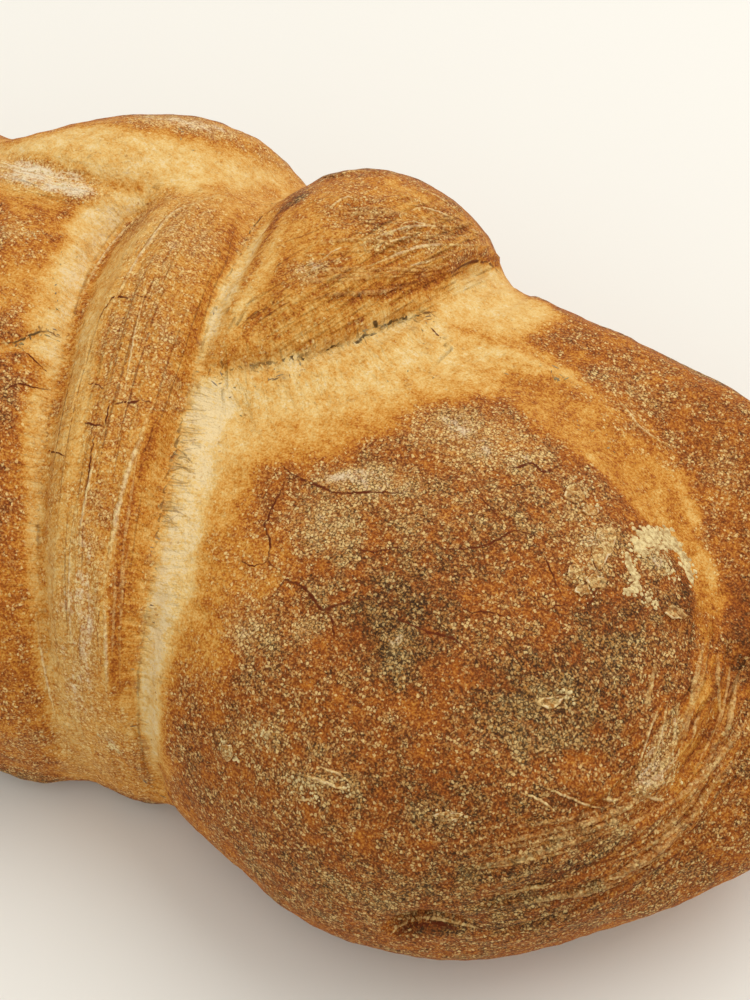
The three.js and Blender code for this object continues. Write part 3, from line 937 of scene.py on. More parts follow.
# How brown it is, with less unrest in the stretched dough, and darker between cobbles.
unrest = baked.total(
    baked.times(clouds, 0.25), (blotches, 0.50), (crumbs, -0.50), (fine, -0.75),
)
unrest = baked.times(unrest, baked.span(baked_amount, 0.05, 0.60, 0.72, 1.0))
shade = baked.math("ADD", baked_amount, unrest)
# Along the grain, wrinkle crests are drawn paler and furrows darker: partly the crust's own
# colour and partly painted highlight and shade.
shade = baked.total(shade, (streaks, -0.30), (ridges, -0.46), (pulls, 0.46))
gaps = baked.math("SUBTRACT", 1.0, cell_top)
shade = baked.total(shade, (baked.times(gaps, cover), 0.15))
colour = baked.ramp(shade, BAKE_COLOURS)

# Grey along the seams: partly the lavender's tint and partly painted shade.
greyed = baked.total(baked.times(blotches, 2.0), (pulls, 2.2))
greyed = baked.math("ADD", greyed, baked.layer("grey"))
greyed = baked.times(baked.span(greyed, 0.45, 1.1), baked.layer("grey"))
colour = baked.mix(greyed, colour, srgb(*GREY_COLOUR))

# The flour from toasted grit to a white smear, over the crust's own colour.
flour_tone = baked.total(second_lot, (fine, 1.4))
flour_shade = baked.ramp(flour_tone, [(0.1, FLOUR_DARK), (0.9, FLOUR_PALE)])
veil = baked.total(dusted, (crumbs, 1.5), (streaks, 1.0))
grit = baked.times(baked.span(fine, 0.0, 0.14), baked.span(dusted, -0.2, 1.1, 0.08, 0.60))
colour = baked.mix(grit, colour, srgb(*TOASTED_FLOUR))
colour = baked.mix(baked.span(veil, 0.5, 2.0, 0.0, 0.30), colour, flour_shade)
colour = baked.mix(baked.times(cobbles, 0.82), colour, flour_shade)
colour = baked.mix(dots, colour, srgb(*FLOUR_PALE))
smeared = baked.total(veil, (fine, 1.2))
colour = baked.mix(baked.span(smeared, 1.4, 2.3, 0.0, 0.85), colour, srgb(*FLOUR_WHITE))

# The thin relief's marks: paled edges and rolls, and dark marks that are painted shade in seams,
# pleats, furrows and along steps, and in the cracks partly the crust's own colour.
paled = baked.span(baked.total(mark, (crumbs, 0.8)), 0.1, 1.0)
colour = baked.mix(baked.times(paled, 0.85), colour, flour_shade)
whitened = baked.times(baked.span(mark, 0.9, 1.5), 0.8)
colour = baked.mix(whitened, colour, srgb(*FLOUR_WHITE))
# Along the seams the dark marks' painted shade turns greyer.
in_seam = baked.span(baked.layer("grey"), 0.0, 0.3)
slit_shade = baked.mix(in_seam, srgb(*SLIT_SHADE_COLOUR), srgb(*SEAM_SHADE_COLOUR))
colour = baked.mix(baked.span(mark, 0.0, -0.9), colour, slit_shade)
baked.feed(baked.shader.inputs["Base Color"], colour)
baked.shader.inputs["Roughness"].default_value = 0.66
baked.shader.inputs["Specular IOR Level"].default_value = 0.12
height = baked.total(
    baked.times(fine, 0.12), (cobbles, 0.05), (dots, 0.06), (crumbs, 0.50),
    (blotches, 1.1), (streaks, 0.9), (ridges, 2.9), (pulls, 0.9),
)
bump = baked.add("ShaderNodeBump", {"Height": height, "Strength": 1.0, "Distance": 0.001})
baked.feed(baked.shader.inputs["Normal"], bump.outputs["Normal"])

skin.materials.clear()
skin.materials.append(baked.material)
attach(crust, "root")
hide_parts("loaf")


# ---- Flakes ----
# Blisters of the outermost skin that dried and lifted: thin floury chips 3 to 7 mm
# across, nearly flat, with a paler rim that is torn loose on one side. The rim is paler
# the more it curls up, partly as a painted highlight, and a dark ring just past its
# edge, darkest on the torn side, is painted shade under the loose rim.

FLAKE_SIDES = 22
# The rim is uneven in waves, of so many to a turn and up to such a share of its reach.
FLAKE_WAVES = (2, 3, 5, 7)
FLAKE_BULGE = 0.30
ANY_TURN = 6.3
# How dark the painted shade under the torn side is.
TORN_SHADE = 0.8
# Each ring's reach, its rise in metres and how pale it is; the dark ring is painted shade.
FLAKE_RINGS = [
    (0.30, 0.00034, 0.56), (0.66, 0.00032, 0.60), (0.84, 0.00046, 1.10), (0.95, 0.00034, 0.80),
    (1.03, 0.00005, -0.30), (1.18, -0.00016, 0.0),
]
TORN_RING = 4
FLAKES = [
    ((574, 494), (10, 10), 20), ((590, 511), (9, 5), 15), ((603, 546), (12, 19), 8),
    ((596, 582), (9, 8), 20), ((574, 572), (7, 8), 0), ((582, 590), (8, 6), 0),
    ((551, 702), (13, 7), -25), ((675, 613), (11, 6), 15), ((228, 752), (6, 8), 0),
    ((448, 816), (13, 5), 5),
]
flake_points = []
flake_faces = []
flake_marks = []
skin_corners = [tuple(p.vertices) for p in skin.polygons]


def joined(name, places, faces, marks):
    """One piece from points and faces that lie on the crust. It takes over the crust's
    layers there, so that its colour runs on, and marks say where it is paler (above 0)
    or darker (below 0)."""
    mesh = bpy.data.meshes.new(name)
    mesh.from_pydata([tuple(p) for p in places], [], faces)
    mesh.update()
    shares = np.zeros((len(places), 4))
    corners = np.zeros((len(places), 4), int)
    for i, place in enumerate(places):
        spot, _, number, _ = surface.find_nearest(Vector(place))
        own = skin_corners[number]
        weights = poly_3d_calc([Vector(points[k]) for k in own], spot)
        shares[i, :len(own)] = weights
        corners[i, :len(own)] = own
    for key, values in crust_layers.items():
        taken = values[corners] * (shares[:, :, None] if values.ndim == 2 else shares)
        keep_layer(mesh, key, taken.sum(axis=1))
    keep_layer(mesh, "mark", np.array(marks, float))
    mesh.materials.append(baked.material)
    made = bpy.data.objects.new(name, mesh)
    bpy.context.scene.collection.objects.link(made)
    only(made)
    bpy.ops.object.shade_smooth()
    bpy.ops.object.mode_set(mode="EDIT")
    bpy.ops.mesh.select_all(action="SELECT")
    bpy.ops.mesh.normals_make_consistent(inside=False)
    bpy.ops.object.mode_set(mode="OBJECT")
    return made


def flake_edge(middle, halves, turn, waves, reach, angle):
    """A point of the photograph on the uneven rim of a flake."""
    turn = math.radians(turn)
    bulge = 1 + sum(size * math.sin(order * angle + start) for order, size, start in waves)
    x = math.cos(angle) * halves[0] * reach * bulge
    y = math.sin(angle) * halves[1] * reach * bulge
    return (
        middle[0] + x * math.cos(turn) - y * math.sin(turn),
        middle[1] + x * math.sin(turn) + y * math.cos(turn),
    )


for middle, halves, turn in FLAKES:
    start = len(flake_points)
    centre, normal, _, _ = surface.ray_cast(eye, ray_through(middle))
    flake_points.append(centre + normal * FLAKE_RINGS[0][1])
    flake_marks.append(FLAKE_RINGS[0][2])
    waves = []
    for k in FLAKE_WAVES:
        waves.append((k, random.uniform(0, FLAKE_BULGE / k ** 0.5), random.uniform(0, ANY_TURN)))
    curl = [random.uniform(0.2, 1.5) for _ in range(FLAKE_SIDES)]
    torn_side = random.uniform(0, ANY_TURN)
    for ring, (reach, rise, pale) in enumerate(FLAKE_RINGS):
        for k in range(FLAKE_SIDES):
            angle = 2 * math.pi * k / FLAKE_SIDES
            pixel = flake_edge(middle, halves, turn, waves, reach, angle)
            spot, normal, _, _ = surface.ray_cast(eye, ray_through(pixel))
            curled = (curl[k - 1] + curl[k]) / 2
            flake_points.append(spot + normal * (rise * curled if rise > 0 else rise))
            # Paleness grows with the curl, partly as painted highlight; the ring past the edge is
            # painted shade under the loose rim, darkest on the torn side.
            torn = max(0, math.sin(angle + torn_side) + 0.3) if ring == TORN_RING else 0
            flake_marks.append(pale * curled - torn * TORN_SHADE)
    for k in range(FLAKE_SIDES):
        nxt = (k + 1) % FLAKE_SIDES
        flake_faces.append((start, start + 1 + nxt, start + 1 + k))
        for ring in range(len(FLAKE_RINGS) - 1):
            a = start + 1 + ring * FLAKE_SIDES
            b = a + FLAKE_SIDES
            flake_faces.append((a + k, a + nxt, b + nxt, b + k))
flakes = joined("crust_flakes", flake_points, flake_faces, flake_marks)
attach(flakes, "root")


# ---- Cracks ----
# Hair cracks that opened in the brown skin as the crumb below went on swelling: dark
# red-brown slits, a quarter to three quarters of a millimetre wide, fading out at their
# ends. They are laid as flat dark strips, their darkness partly the crust's own colour
# and partly painted shade in the opening.

CRACK_WIDTH = 0.00080
CRACK_WANDER = 0.00018
CRACK_GAP = 2.5
# How far the middle of a flat mark stands clear of the crust.
MARK_LIFT = 0.00006
# Each crack's share of that width, and its line.
CRACKS = [
    (1.0, [(276, 450), (284, 467), (302, 479), (320, 486), (339, 493), (380, 492), (421, 495)]),
    (0.9, [(288, 475), (280, 493), (272, 508), (268, 520), (264, 524), (270, 542), (269, 562),
           (280, 571), (284, 581)]),
    (1.2, [(262, 605), (274, 594), (284, 581), (290, 582), (304, 587), (313, 599), (323, 610),
           (343, 603), (384, 597)]),
    (0.8, [(323, 610), (330, 614), (333, 628), (334, 641)]),
    (0.9, [(376, 598), (394, 616), (410, 624), (425, 631), (449, 637), (468, 650), (487, 667)]),
    (0.8, [(431, 546), (452, 549), (474, 548), (495, 541), (517, 531), (547, 541)]),
    (0.7, [(472, 492), (483, 500), (492, 509), (504, 526)]),
    (1.1, [(502, 468), (518, 467), (532, 463), (545, 472), (560, 466), (573, 467)]),
    (0.8, [(537, 545), (546, 560), (552, 573), (560, 592), (567, 604)]),
    (0.6, [(567, 604), (556, 606), (545, 611)]),
    (0.6, [(350, 545), (372, 552), (398, 548), (418, 556)]),
    (0.6, [(455, 600), (470, 612), (492, 612), (520, 625)]),
    (0.6, [(240, 560), (252, 566), (268, 562)]),
    (0.9, [(110, 302), (112, 298), (122, 297), (133, 299)]),
    (0.7, [(135, 294), (143, 297), (152, 298)]),
    (0.6, [(110, 302), (103, 311), (98, 322)]),
    (1.0, [(110, 403), (120, 403), (132, 402), (143, 401), (154, 402)]),
    (0.7, [(110, 403), (108, 411), (107, 418), (105, 426)]),
    (0.9, [(77, 421), (86, 423), (95, 425), (105, 426)]),
    (0.8, [(88, 384), (96, 384), (104, 389)]),
    (0.7, [(96, 427), (92, 450), (88, 480), (84, 510)]),
    (0.6, [(43, 450), (54, 452), (66, 456)]),
    (0.6, [(100, 600), (98, 640), (102, 672)]),
    (0.8, [(0, 343), (18, 341), (31, 335), (46, 331), (61, 338)]),
    (0.7, [(0, 391), (20, 384), (36, 388), (51, 390)]),
    (0.6, [(18, 345), (34, 360), (51, 376)]),
    (1.6, [(370, 334), (378, 329), (392, 322), (404, 318), (420, 314), (438, 311)]),
    (1.8, [(372, 314), (375, 322), (378, 330)]),
    (1.5, [(352, 341), (358, 343), (362, 337), (369, 334)]),
    (1.3, [(324, 351), (332, 347), (341, 345)]),
    (1.1, [(300, 356), (306, 360), (314, 354)]),
    (1.0, [(279, 362), (290, 357), (300, 356)]),
    (1.0, [(430, 328), (436, 333), (441, 338)]),
    (0.8, [(600, 575), (592, 600), (580, 604)]),
    (0.9, [(272, 210), (262, 217), (252, 229), (244, 243)]),
    (0.5, [(700, 862), (712, 868), (724, 852)]),
]
# Across a strip: the place of each of its points, its height and how strong its colour is.
STRIP_PROFILE = [
    (-1.0, -0.6, 0.0), (-0.6, 0.6, 0.8), (0.0, 1.0, 1.0), (0.6, 0.6, 0.8), (1.0, -0.6, 0.0),
]
strip_points = []
strip_faces = []
strip_marks = []


def strip(line, width, rise, marks, wander=0.0, rough=0.3):
    """Adds a thin tapering strip that hugs the crust along a line."""
    if not isinstance(marks, list):
        marks = [marks] * len(line)
    start = len(strip_points)
    last = len(line) - 1
    wide = len(STRIP_PROFILE)
    for i, place in enumerate(line):
        ahead = Vector(line[min(i + 1, last)]) - Vector(line[max(i - 1, 0)])
        spot, normal, _, _ = surface.find_nearest(Vector(place))
        across = normal.cross(ahead).normalized()
        spot = spot + across * wander * random.uniform(-1, 1)
        swell = math.sin(math.pi * (i + 0.6) / (last + 1.2)) ** 0.6
        strength = swell * random.uniform(1 - rough, 1 + rough)
        for reach, height, share in STRIP_PROFILE:
            aside = across * (width / 2 * strength * reach)
            edge, edge_normal, _, _ = surface.find_nearest(spot + aside)
            strip_points.append(edge + edge_normal * rise * height * min(strength, 1))
            strip_marks.append(marks[i] * share * min(strength, 1))
        if i:
            row = start + wide * i
            for k in range(wide - 1):
                strip_faces.append((row - wide + k, row - wide + k + 1, row + k + 1, row + k))


def strips_joined(name):
    """The strips laid since the last piece, as one piece."""
    made = joined(name, strip_points, strip_faces, strip_marks)
    for used in (strip_points, strip_faces, strip_marks):
        used.clear()
    return made


# Each crack's dark strip is partly crust colour and partly painted shade.
for strength, stops in CRACKS:
    strip(trace(stops, CRACK_GAP), CRACK_WIDTH * strength, MARK_LIFT, -1.0, CRACK_WANDER)
cracks = strips_joined("crust_cracks")
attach(cracks, "root")


# ---- Pleats ----
# Folds pinched into the soft dough where one strand presses on the next: thin pale
# creases, and dark olive ones, painted shade in the folds that turns greyer along the
# seams, that leave the seam sideways, 1 to 7 mm long. The seams' dark bottoms are
# painted shade as well.

PLEAT_WIDTH = 0.00056
# A dark crease is painted shade in the fold.
PLEAT_DARK = -0.46
PLEAT_PALE = 0.55
PLEAT_STOPS = 6
PLEAT_BEND = 0.35
PLEAT_WANDER = 0.00008
# Painted shade at the bottoms of the seams: each has its width and how dark it gets.
SEAM_SHADE_LINES = [
    (STRAP_RIGHT[:5], 0.0006, 0.60), (STRAP_RIGHT[3:9], 0.0007, 0.40),
    (STRAP_RIGHT[6:13], 0.0012, 0.75), (STRAP_RIGHT[12:], 0.0008, 0.42),
    (SHOULDER_CRACK, 0.0012, 1.00), (STRAP_LEFT[:-2], 0.0010, 0.45),
]
# The painted shade at the bottom of a seam is darker and fainter by turns, but nowhere less than
# this.
SEAM_USUAL = 0.70
SEAM_FAINTEST = 0.12
SEAM_WANDER = 0.00022


def pleats(stops, how_many, direction, shortest, longest, lean, mark):
    """Draws short curved creases out of a seam, to its left (1) or its right (-1)."""
    line = trace(stops)
    for _ in range(how_many):
        i = random.randrange(1, len(line) - 1)
        spot = Vector(line[i])
        ahead = (Vector(line[i + 1]) - Vector(line[i - 1])).normalized()
        length = random.uniform(shortest, longest)
        heading = lean * random.uniform(0.3, 1.6)
        crease = []
        for _ in range(PLEAT_STOPS):
            spot, normal, _, _ = surface.find_nearest(spot)
            crease.append(tuple(spot))
            across = normal.cross(ahead).normalized() * direction
            heading += random.uniform(-PLEAT_BEND, PLEAT_BEND)
            spot = spot + (across + ahead * heading).normalized() * length / (PLEAT_STOPS - 1)
        strength = random.uniform(0.5, 1.2)
        strip(crease, PLEAT_WIDTH * strength, MARK_LIFT, mark * strength, PLEAT_WANDER)


# Creases with a dark mark are painted shade in the folds.
pleats(STRAP_RIGHT[7:12], 36, 1, 0.0022, 0.0066, 0.22, PLEAT_DARK)
pleats(STRAP_RIGHT[11:], 14, 1, 0.0012, 0.0032, 0.35, PLEAT_DARK * 0.7)
pleats(STRAP_RIGHT[7:], 46, 1, 0.0018, 0.0050, 0.35, PLEAT_PALE)
pleats(STRAP_RIGHT[1:6], 8, 1, 0.0010, 0.0022, 0.5, PLEAT_DARK)
pleats(SHOULDER_CRACK, 26, -1, 0.0010, 0.0036, 0.4, PLEAT_DARK)
pleats(SHOULDER_CRACK, 26, -1, 0.0014, 0.0044, 0.4, PLEAT_PALE)
pleats(SHOULDER_CRACK, 22, 1, 0.0010, 0.0034, 0.4, PLEAT_DARK)
pleats(SHOULDER_CRACK, 20, 1, 0.0012, 0.0040, 0.4, PLEAT_PALE)
pleats(NEAR_CREASE[1:], 8, 1, 0.0008, 0.0020, 0.4, PLEAT_DARK)

# The same folds in the seams on the loaf's other sides, square to each hollow. They
# start from points drawn in a deep hollow, clear of the table, that the photograph
# doesn't show.
DEEP = 0.7
HIDDEN = 0.4
CLEAR_OF_TABLE = 0.012
HIDDEN_PLEATS = 130
deep = np.where((hollow > DEEP) & (seen < HIDDEN) & (points[:, 2] > CLEAR_OF_TABLE))[0]
deep = dice.permutation(deep)


def out_of_hollow(k):
    """The way out of the hollow at one point of the skin."""
    own = edges[(edges == k).any(axis=1)]
    others = own.sum(axis=1) - k
    rise = (hollow[k] - hollow[others])[:, None] * (points[others] - points[k])
    return Vector(rise.sum(axis=0)).normalized()


for k in deep[:HIDDEN_PLEATS]:
    spot = Vector(points[k])
    way = out_of_hollow(k)
    length = random.uniform(0.0014, 0.0042)
    crease = []
    for _ in range(PLEAT_STOPS):
        spot, normal, _, _ = surface.find_nearest(spot)
        crease.append(tuple(spot))
        bend = normal.cross(way) * random.uniform(-PLEAT_BEND, PLEAT_BEND)
        way = (way + bend).normalized()
        spot = spot + way * length / (PLEAT_STOPS - 1)
    mark = PLEAT_DARK if random.random() < 0.6 else PLEAT_PALE
    strip(crease, PLEAT_WIDTH * random.uniform(0.5, 1.2), MARK_LIFT, mark, PLEAT_WANDER)
# Strips of painted shade along the bottoms of the seams.
for stops, width, darkest in SEAM_SHADE_LINES:
    line = trace(stops, 3)
    depths = mottle(line, 0.006, 31, 3)
    marks = [-darkest * min(1, max(SEAM_FAINTEST, SEAM_USUAL + depth)) for depth in depths]
    strip(line, width, MARK_LIFT, marks, SEAM_WANDER)
creases = strips_joined("seam_pleats")
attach(creases, "root")


# ---- Skin rolls ----
# Fine rolls of skin where the dough was pulled tight: floury threads and folds of crust
# 1 to 2 mm wide that stand up a quarter to half a millimetre over the wrinkles.

ROLL_WIDTH = 0.00115
ROLL_RISE = 0.00030
ROLL_MARK = 1.15
FOLD_WIDTH = 0.0018
FOLD_RISE = 0.00045
FOLD_MARK = 0.80
EDGE_RISE = 0.00005
ROLL_WANDER = 0.0001
ROLL_ROUGHNESS = 0.12
EDGE_ROUGHNESS = 0.15
FAN_WANDER = 0.00004
# Pixels between the points of a line, where it is traced closely.
CLOSE = 3
# Each roll's share of that width and rise, and its line.
ROLLS = [
    (1.0, [(346, 254), (358, 247), (370, 240), (392, 232), (408, 227), (440, 226), (470, 228)]),
    (0.8, [(340, 261), (364, 254), (392, 241), (420, 236), (452, 238)]),
    (1.1, [(352, 272), (380, 262), (408, 250), (432, 245), (460, 245), (486, 247)]),
    (0.9, [(364, 279), (400, 269), (432, 260), (458, 254)]),
    (0.9, [(406, 213), (420, 208), (438, 212), (458, 220)]),
    (0.8, [(324, 213), (336, 203), (348, 197), (362, 201)]),
    (0.7, [(412, 182), (424, 190), (440, 198), (452, 207), (464, 217)]),
    (0.7, [(392, 233), (408, 222), (426, 224), (446, 222)]),
    (0.7, [(318, 262), (336, 250), (350, 246)]),
    (0.7, [(300, 276), (318, 268), (330, 262)]),
    (1.6, [(157, 398), (151, 410), (145, 424), (139, 442), (128, 470), (120, 500), (113, 535),
           (107, 570), (104, 596)]),
    (1.2, [(104, 590), (105, 629), (106, 660), (107, 706)]),
    (1.2, [(235, 193), (215, 196), (200, 202), (175, 212), (160, 228), (148, 245), (136, 262),
           (126, 280), (116, 298), (108, 310), (99, 332)]),
    (1.0, [(163, 199), (142, 214), (122, 233), (106, 252), (94, 271), (84, 292), (76, 311)]),
    (0.8, [(97, 728), (106, 736), (116, 744), (124, 758)]),
    (0.8, [(36, 610), (41, 650), (49, 690), (60, 734)]),
    (0.8, [(101, 428), (94, 460), (82, 520), (78, 572)]),
    (0.6, [(150, 270), (138, 320), (128, 370), (121, 420)]),
    (0.7, [(76, 500), (70, 560), (70, 620), (76, 680)]),
]
# Broader, less floury folds that fan out over the head's near right.
FOLDS = [
    (1.2, [(748, 716), (736, 736), (720, 756), (704, 776), (690, 788), (672, 802), (652, 812)]),
    (0.9, [(652, 812), (638, 820), (620, 828), (600, 835)]),
    (1.0, [(740, 756), (716, 780), (696, 812), (672, 832), (640, 850), (610, 862)]),
    (1.0, [(680, 846), (660, 856), (640, 866), (616, 874), (590, 884)]),
    (1.0, [(704, 640), (696, 680), (688, 720), (680, 752)]),
    (0.9, [(718, 650), (718, 684), (720, 716)]),
    (1.2, [(740, 670), (734, 690), (730, 720), (724, 742)]),
    (0.8, [(656, 660), (650, 690), (645, 712)]),
    (0.8, [(700, 712), (694, 730), (690, 748)]),
]
FLOURED_ROLLS = [
    (1.2, [(628, 795), (634, 791), (640, 789), (654, 785), (666, 782), (675, 779)]),
    (1.0, [(642, 790), (648, 796), (660, 800), (670, 798)]),
    (1.0, [(603, 799), (612, 800), (620, 799)]),
    (0.9, [(668, 700), (664, 722), (658, 744), (650, 770)]),
    (0.9, [(678, 702), (676, 726), (672, 752), (674, 778)]),
    (0.8, [(662, 702), (652, 724), (644, 748), (636, 776)]),
    (0.8, [(614, 395), (628, 411), (640, 427), (658, 440), (675, 452)]),
    (0.9, [(296, 774), (310, 777), (330, 784), (350, 792)]),
    (0.7, [(318, 766), (338, 774), (352, 784)]),
    (0.7, [(292, 798), (304, 800), (318, 798)]),
    (0.7, [(520, 792), (540, 800), (556, 812)]),
    (0.7, [(540, 786), (566, 796), (590, 806), (606, 808)]),
]
# Browned edges, painted shade along steps of the skin, and the pocket's pale rim with
# painted shade in its mouth: each has its width, how dark (below 0) or pale it is, and
# its line.
EDGES = [
    (0.0013, -0.85, [(444, 280), (460, 267), (476, 261), (490, 264), (501, 274)]),
    (0.0007, -0.40, [(160, 246), (146, 270), (132, 302), (122, 336), (114, 368)]),
    (0.0006, -0.45, [(136, 300), (126, 330), (116, 362), (108, 396)]),
    (0.0007, -0.45, [(182, 200), (164, 219), (146, 244), (132, 268), (119, 298), (104, 322)]),
    (0.0007, -0.35, [(240, 204), (233, 234), (226, 262), (214, 288), (206, 312), (194, 350)]),
    (0.0006, -0.45, [(124, 421), (118, 452), (112, 484)]),
    (0.0012, 0.90, [(388, 937), (398, 927), (412, 920), (430, 918), (450, 921), (470, 926),
                    (490, 931)]),
    (0.0022, -1.00, [(394, 937), (405, 929), (420, 924), (438, 924), (454, 928), (464, 933)]),
]
# Fans of fine wrinkles between two lines over the photograph: how many, the least and
# the greatest length as a share of the lines, the width, the rise and how pale. Those
# with a mark below 0 and almost no rise are dark furrow lines, painted shade.
SHOULDER_HIGH = [
    (296, 190), (318, 178), (350, 172), (395, 176), (440, 192), (480, 216), (508, 240),
]
SHOULDER_NEAR = [
    (222, 358), (250, 334), (285, 312), (330, 300), (390, 292), (440, 280), (470, 258),
]
STRAP_FIRST = [
    (165, 205), (124, 245), (92, 300), (68, 380), (54, 460), (48, 540), (50, 640), (62, 740),
]
STRAP_LAST = [
    (245, 205), (228, 250), (208, 300), (182, 380), (158, 450), (142, 530), (130, 620),
    (128, 730),
]
FAN_INNER = [
    (706, 630), (696, 670), (676, 720), (640, 785), (590, 812), (520, 826), (450, 846),
]
FAN_OUTER = [
    (760, 640), (756, 690), (745, 745), (700, 830), (640, 880), (560, 905), (480, 915),
]
FANS = [
    (SHOULDER_HIGH, SHOULDER_NEAR, 22, 0.15, 0.45, 0.00150, 0.00046, 0.45),
    (SHOULDER_HIGH, SHOULDER_NEAR, 26, 0.12, 0.38, 0.00085, 0.00004, -0.50),
    (STRAP_FIRST, STRAP_LAST, 10, 0.12, 0.40, 0.00085, 0.00020, 0.50),
    (STRAP_FIRST, STRAP_LAST, 18, 0.15, 0.45, 0.00060, 0.00003, -0.50),
    (FAN_INNER, FAN_OUTER, 16, 0.25, 0.60, 0.00190, 0.00060, 0.48),
    (FAN_INNER, FAN_OUTER, 10, 0.10, 0.30, 0.00110, 0.00026, 0.75),
    (FAN_INNER, FAN_OUTER, 18, 0.15, 0.40, 0.00090, 0.00004, -0.55),
]


def along(line, share):
    """The point at a share of the way along a line of stops."""
    place = share * (len(line) - 1)
    i = min(int(place), len(line) - 2)
    return line[i] + (line[i + 1] - line[i]) * (place - i)


def fan(first, last, how_many, shortest, longest, width, rise, mark):
    """Draws wrinkles that run with two lines, spread out at random between them."""
    first = smooth_line(first, 12)
    last = smooth_line(last, 12)
    for _ in range(how_many):
        length = random.uniform(shortest, longest)
        begin = random.uniform(0, 1 - length)
        across = random.random()
        stops = []
        for share in (begin + length * i / 8 for i in range(9)):
            stops.append(along(first, share) * (1 - across) + along(last, share) * across)
            across = min(1, max(0, across + random.gauss(0, 0.008)))
        strength = random.uniform(0.6, 1.2)
        strip(trace(stops, CLOSE), width * strength, rise * strength, mark * strength, FAN_WANDER)


def roll(strength, stops, width, rise, mark):
    """Lays one raised thread or fold of skin."""
    line = trace(stops, CLOSE)
    strip(line, width * strength, rise * strength, mark, ROLL_WANDER, ROLL_ROUGHNESS)


for strength, stops in FOLDS:
    roll(strength, stops, FOLD_WIDTH, FOLD_RISE, FOLD_MARK)
for strength, stops in ROLLS + FLOURED_ROLLS:
    roll(strength, stops, ROLL_WIDTH, ROLL_RISE, ROLL_MARK)
for width, mark, stops in EDGES:
    strip(trace(stops, CLOSE), width, EDGE_RISE, mark, ROLL_WANDER, EDGE_ROUGHNESS)
for wrinkles in FANS:
    fan(*wrinkles)
rolls = strips_joined("skin_rolls")
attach(rolls, "root")


# ---- Lavender ----
# Dried lavender buds and leaf bits kneaded through the dough, which show where it tore:
# straw, grey-green and grey-brown slivers half a millimetre to 2.5 mm long, lying half
# sunk in the seams.

BUD_SIDES = 5
BUD_RINGS = (0.35, 1.0, 0.9, 0.3)
BUD_LENGTH = 0.0020
BUD_THICKNESS = 0.0004
BUD_FLATNESS = 0.7
HIDDEN_BUD_LENGTH = 0.0018
FIRST_HIDDEN_BUD = 170
LAST_HIDDEN_BUD = 260
# Each line that they lie along, with how many there are, how far they stray from it, the
# share that lies across it, and their usual length and thickness.
LAVENDER_LINES = [
    (STRAP_RIGHT[7:], 14, 0.0012, 0.85, BUD_LENGTH, BUD_THICKNESS),
    (STRAP_RIGHT[1:6], 5, 0.0008, 0.3, 0.0010, 0.0003),
    (SHOULDER_CRACK, 10, 0.0008, 0.5, BUD_LENGTH, BUD_THICKNESS),
    ([(365, 330), (378, 326), (392, 322)], 12, 0.0008, 0.4, BUD_LENGTH, BUD_THICKNESS),
    ([(300, 362), (312, 356), (320, 350)], 6, 0.0008, 0.4, BUD_LENGTH, BUD_THICKNESS),
    ([(272, 376), (285, 374), (297, 370)], 9, 0.0010, 0.2, BUD_LENGTH, BUD_THICKNESS),
    ([(425, 334), (432, 328), (440, 322)], 6, 0.0010, 0.4, BUD_LENGTH, BUD_THICKNESS),
    ([(545, 366), (558, 376), (569, 387)], 12, 0.0014, 0.4, BUD_LENGTH, BUD_THICKNESS),
    ([(497, 380), (520, 388), (545, 398), (575, 420), (601, 437), (627, 465)],
     10, 0.0020, 0.4, 0.0014, BUD_THICKNESS),
    ([(230, 400), (290, 385), (350, 370), (410, 360), (450, 380)],
     12, 0.0040, 0.6, 0.0010, BUD_THICKNESS),
    ([(180, 130), (186, 146), (200, 150)], 5, 0.0010, 0.4, 0.0012, BUD_THICKNESS),
    (NEAR_CREASE[1:], 10, 0.0010, 0.3, 0.0014, BUD_THICKNESS),
    ([(85, 215), (60, 260), (45, 310)], 9, 0.0030, 0.4, 0.0010, BUD_THICKNESS),
    ([(350, 205), (356, 208), (362, 206)], 5, 0.0008, 0.3, 0.0014, BUD_THICKNESS),
]
bud_points = []
bud_faces = []
bud_tints = []


def bud(place, normal, heading, length, thickness, tint, sink=0.2):
    """Adds a small pointed sliver that lies on the crust."""
    start = len(bud_points)
    across = normal.cross(heading).normalized()
    heading = across.cross(normal).normalized()
    rings = len(BUD_RINGS)
    for i, girth in enumerate(BUD_RINGS):
        onward = heading * length * ((i + 0.5) / rings - 0.5)
        for k in range(BUD_SIDES):
            turn = 2 * math.pi * k / BUD_SIDES
            ring = across * math.cos(turn) + normal * (math.sin(turn) * BUD_FLATNESS - sink)
            bud_points.append(place + onward + ring * thickness * girth / 2)
    bud_points.append(place - heading * length / 2 - normal * thickness * sink)
    bud_points.append(place + heading * length / 2 - normal * thickness * sink)
    tips = start + rings * BUD_SIDES
    for k in range(BUD_SIDES):
        nxt = (k + 1) % BUD_SIDES
        for i in range(rings - 1):
            row = start + i * BUD_SIDES
            bud_faces.append((row + k, row + BUD_SIDES + k, row + BUD_SIDES + nxt, row + nxt))
        end = start + (rings - 1) * BUD_SIDES
        bud_faces.append((tips, start + k, start + nxt))
        bud_faces.append((tips + 1, end + nxt, end + k))
    bud_tints.extend([tint] * (tips + 2 - start))


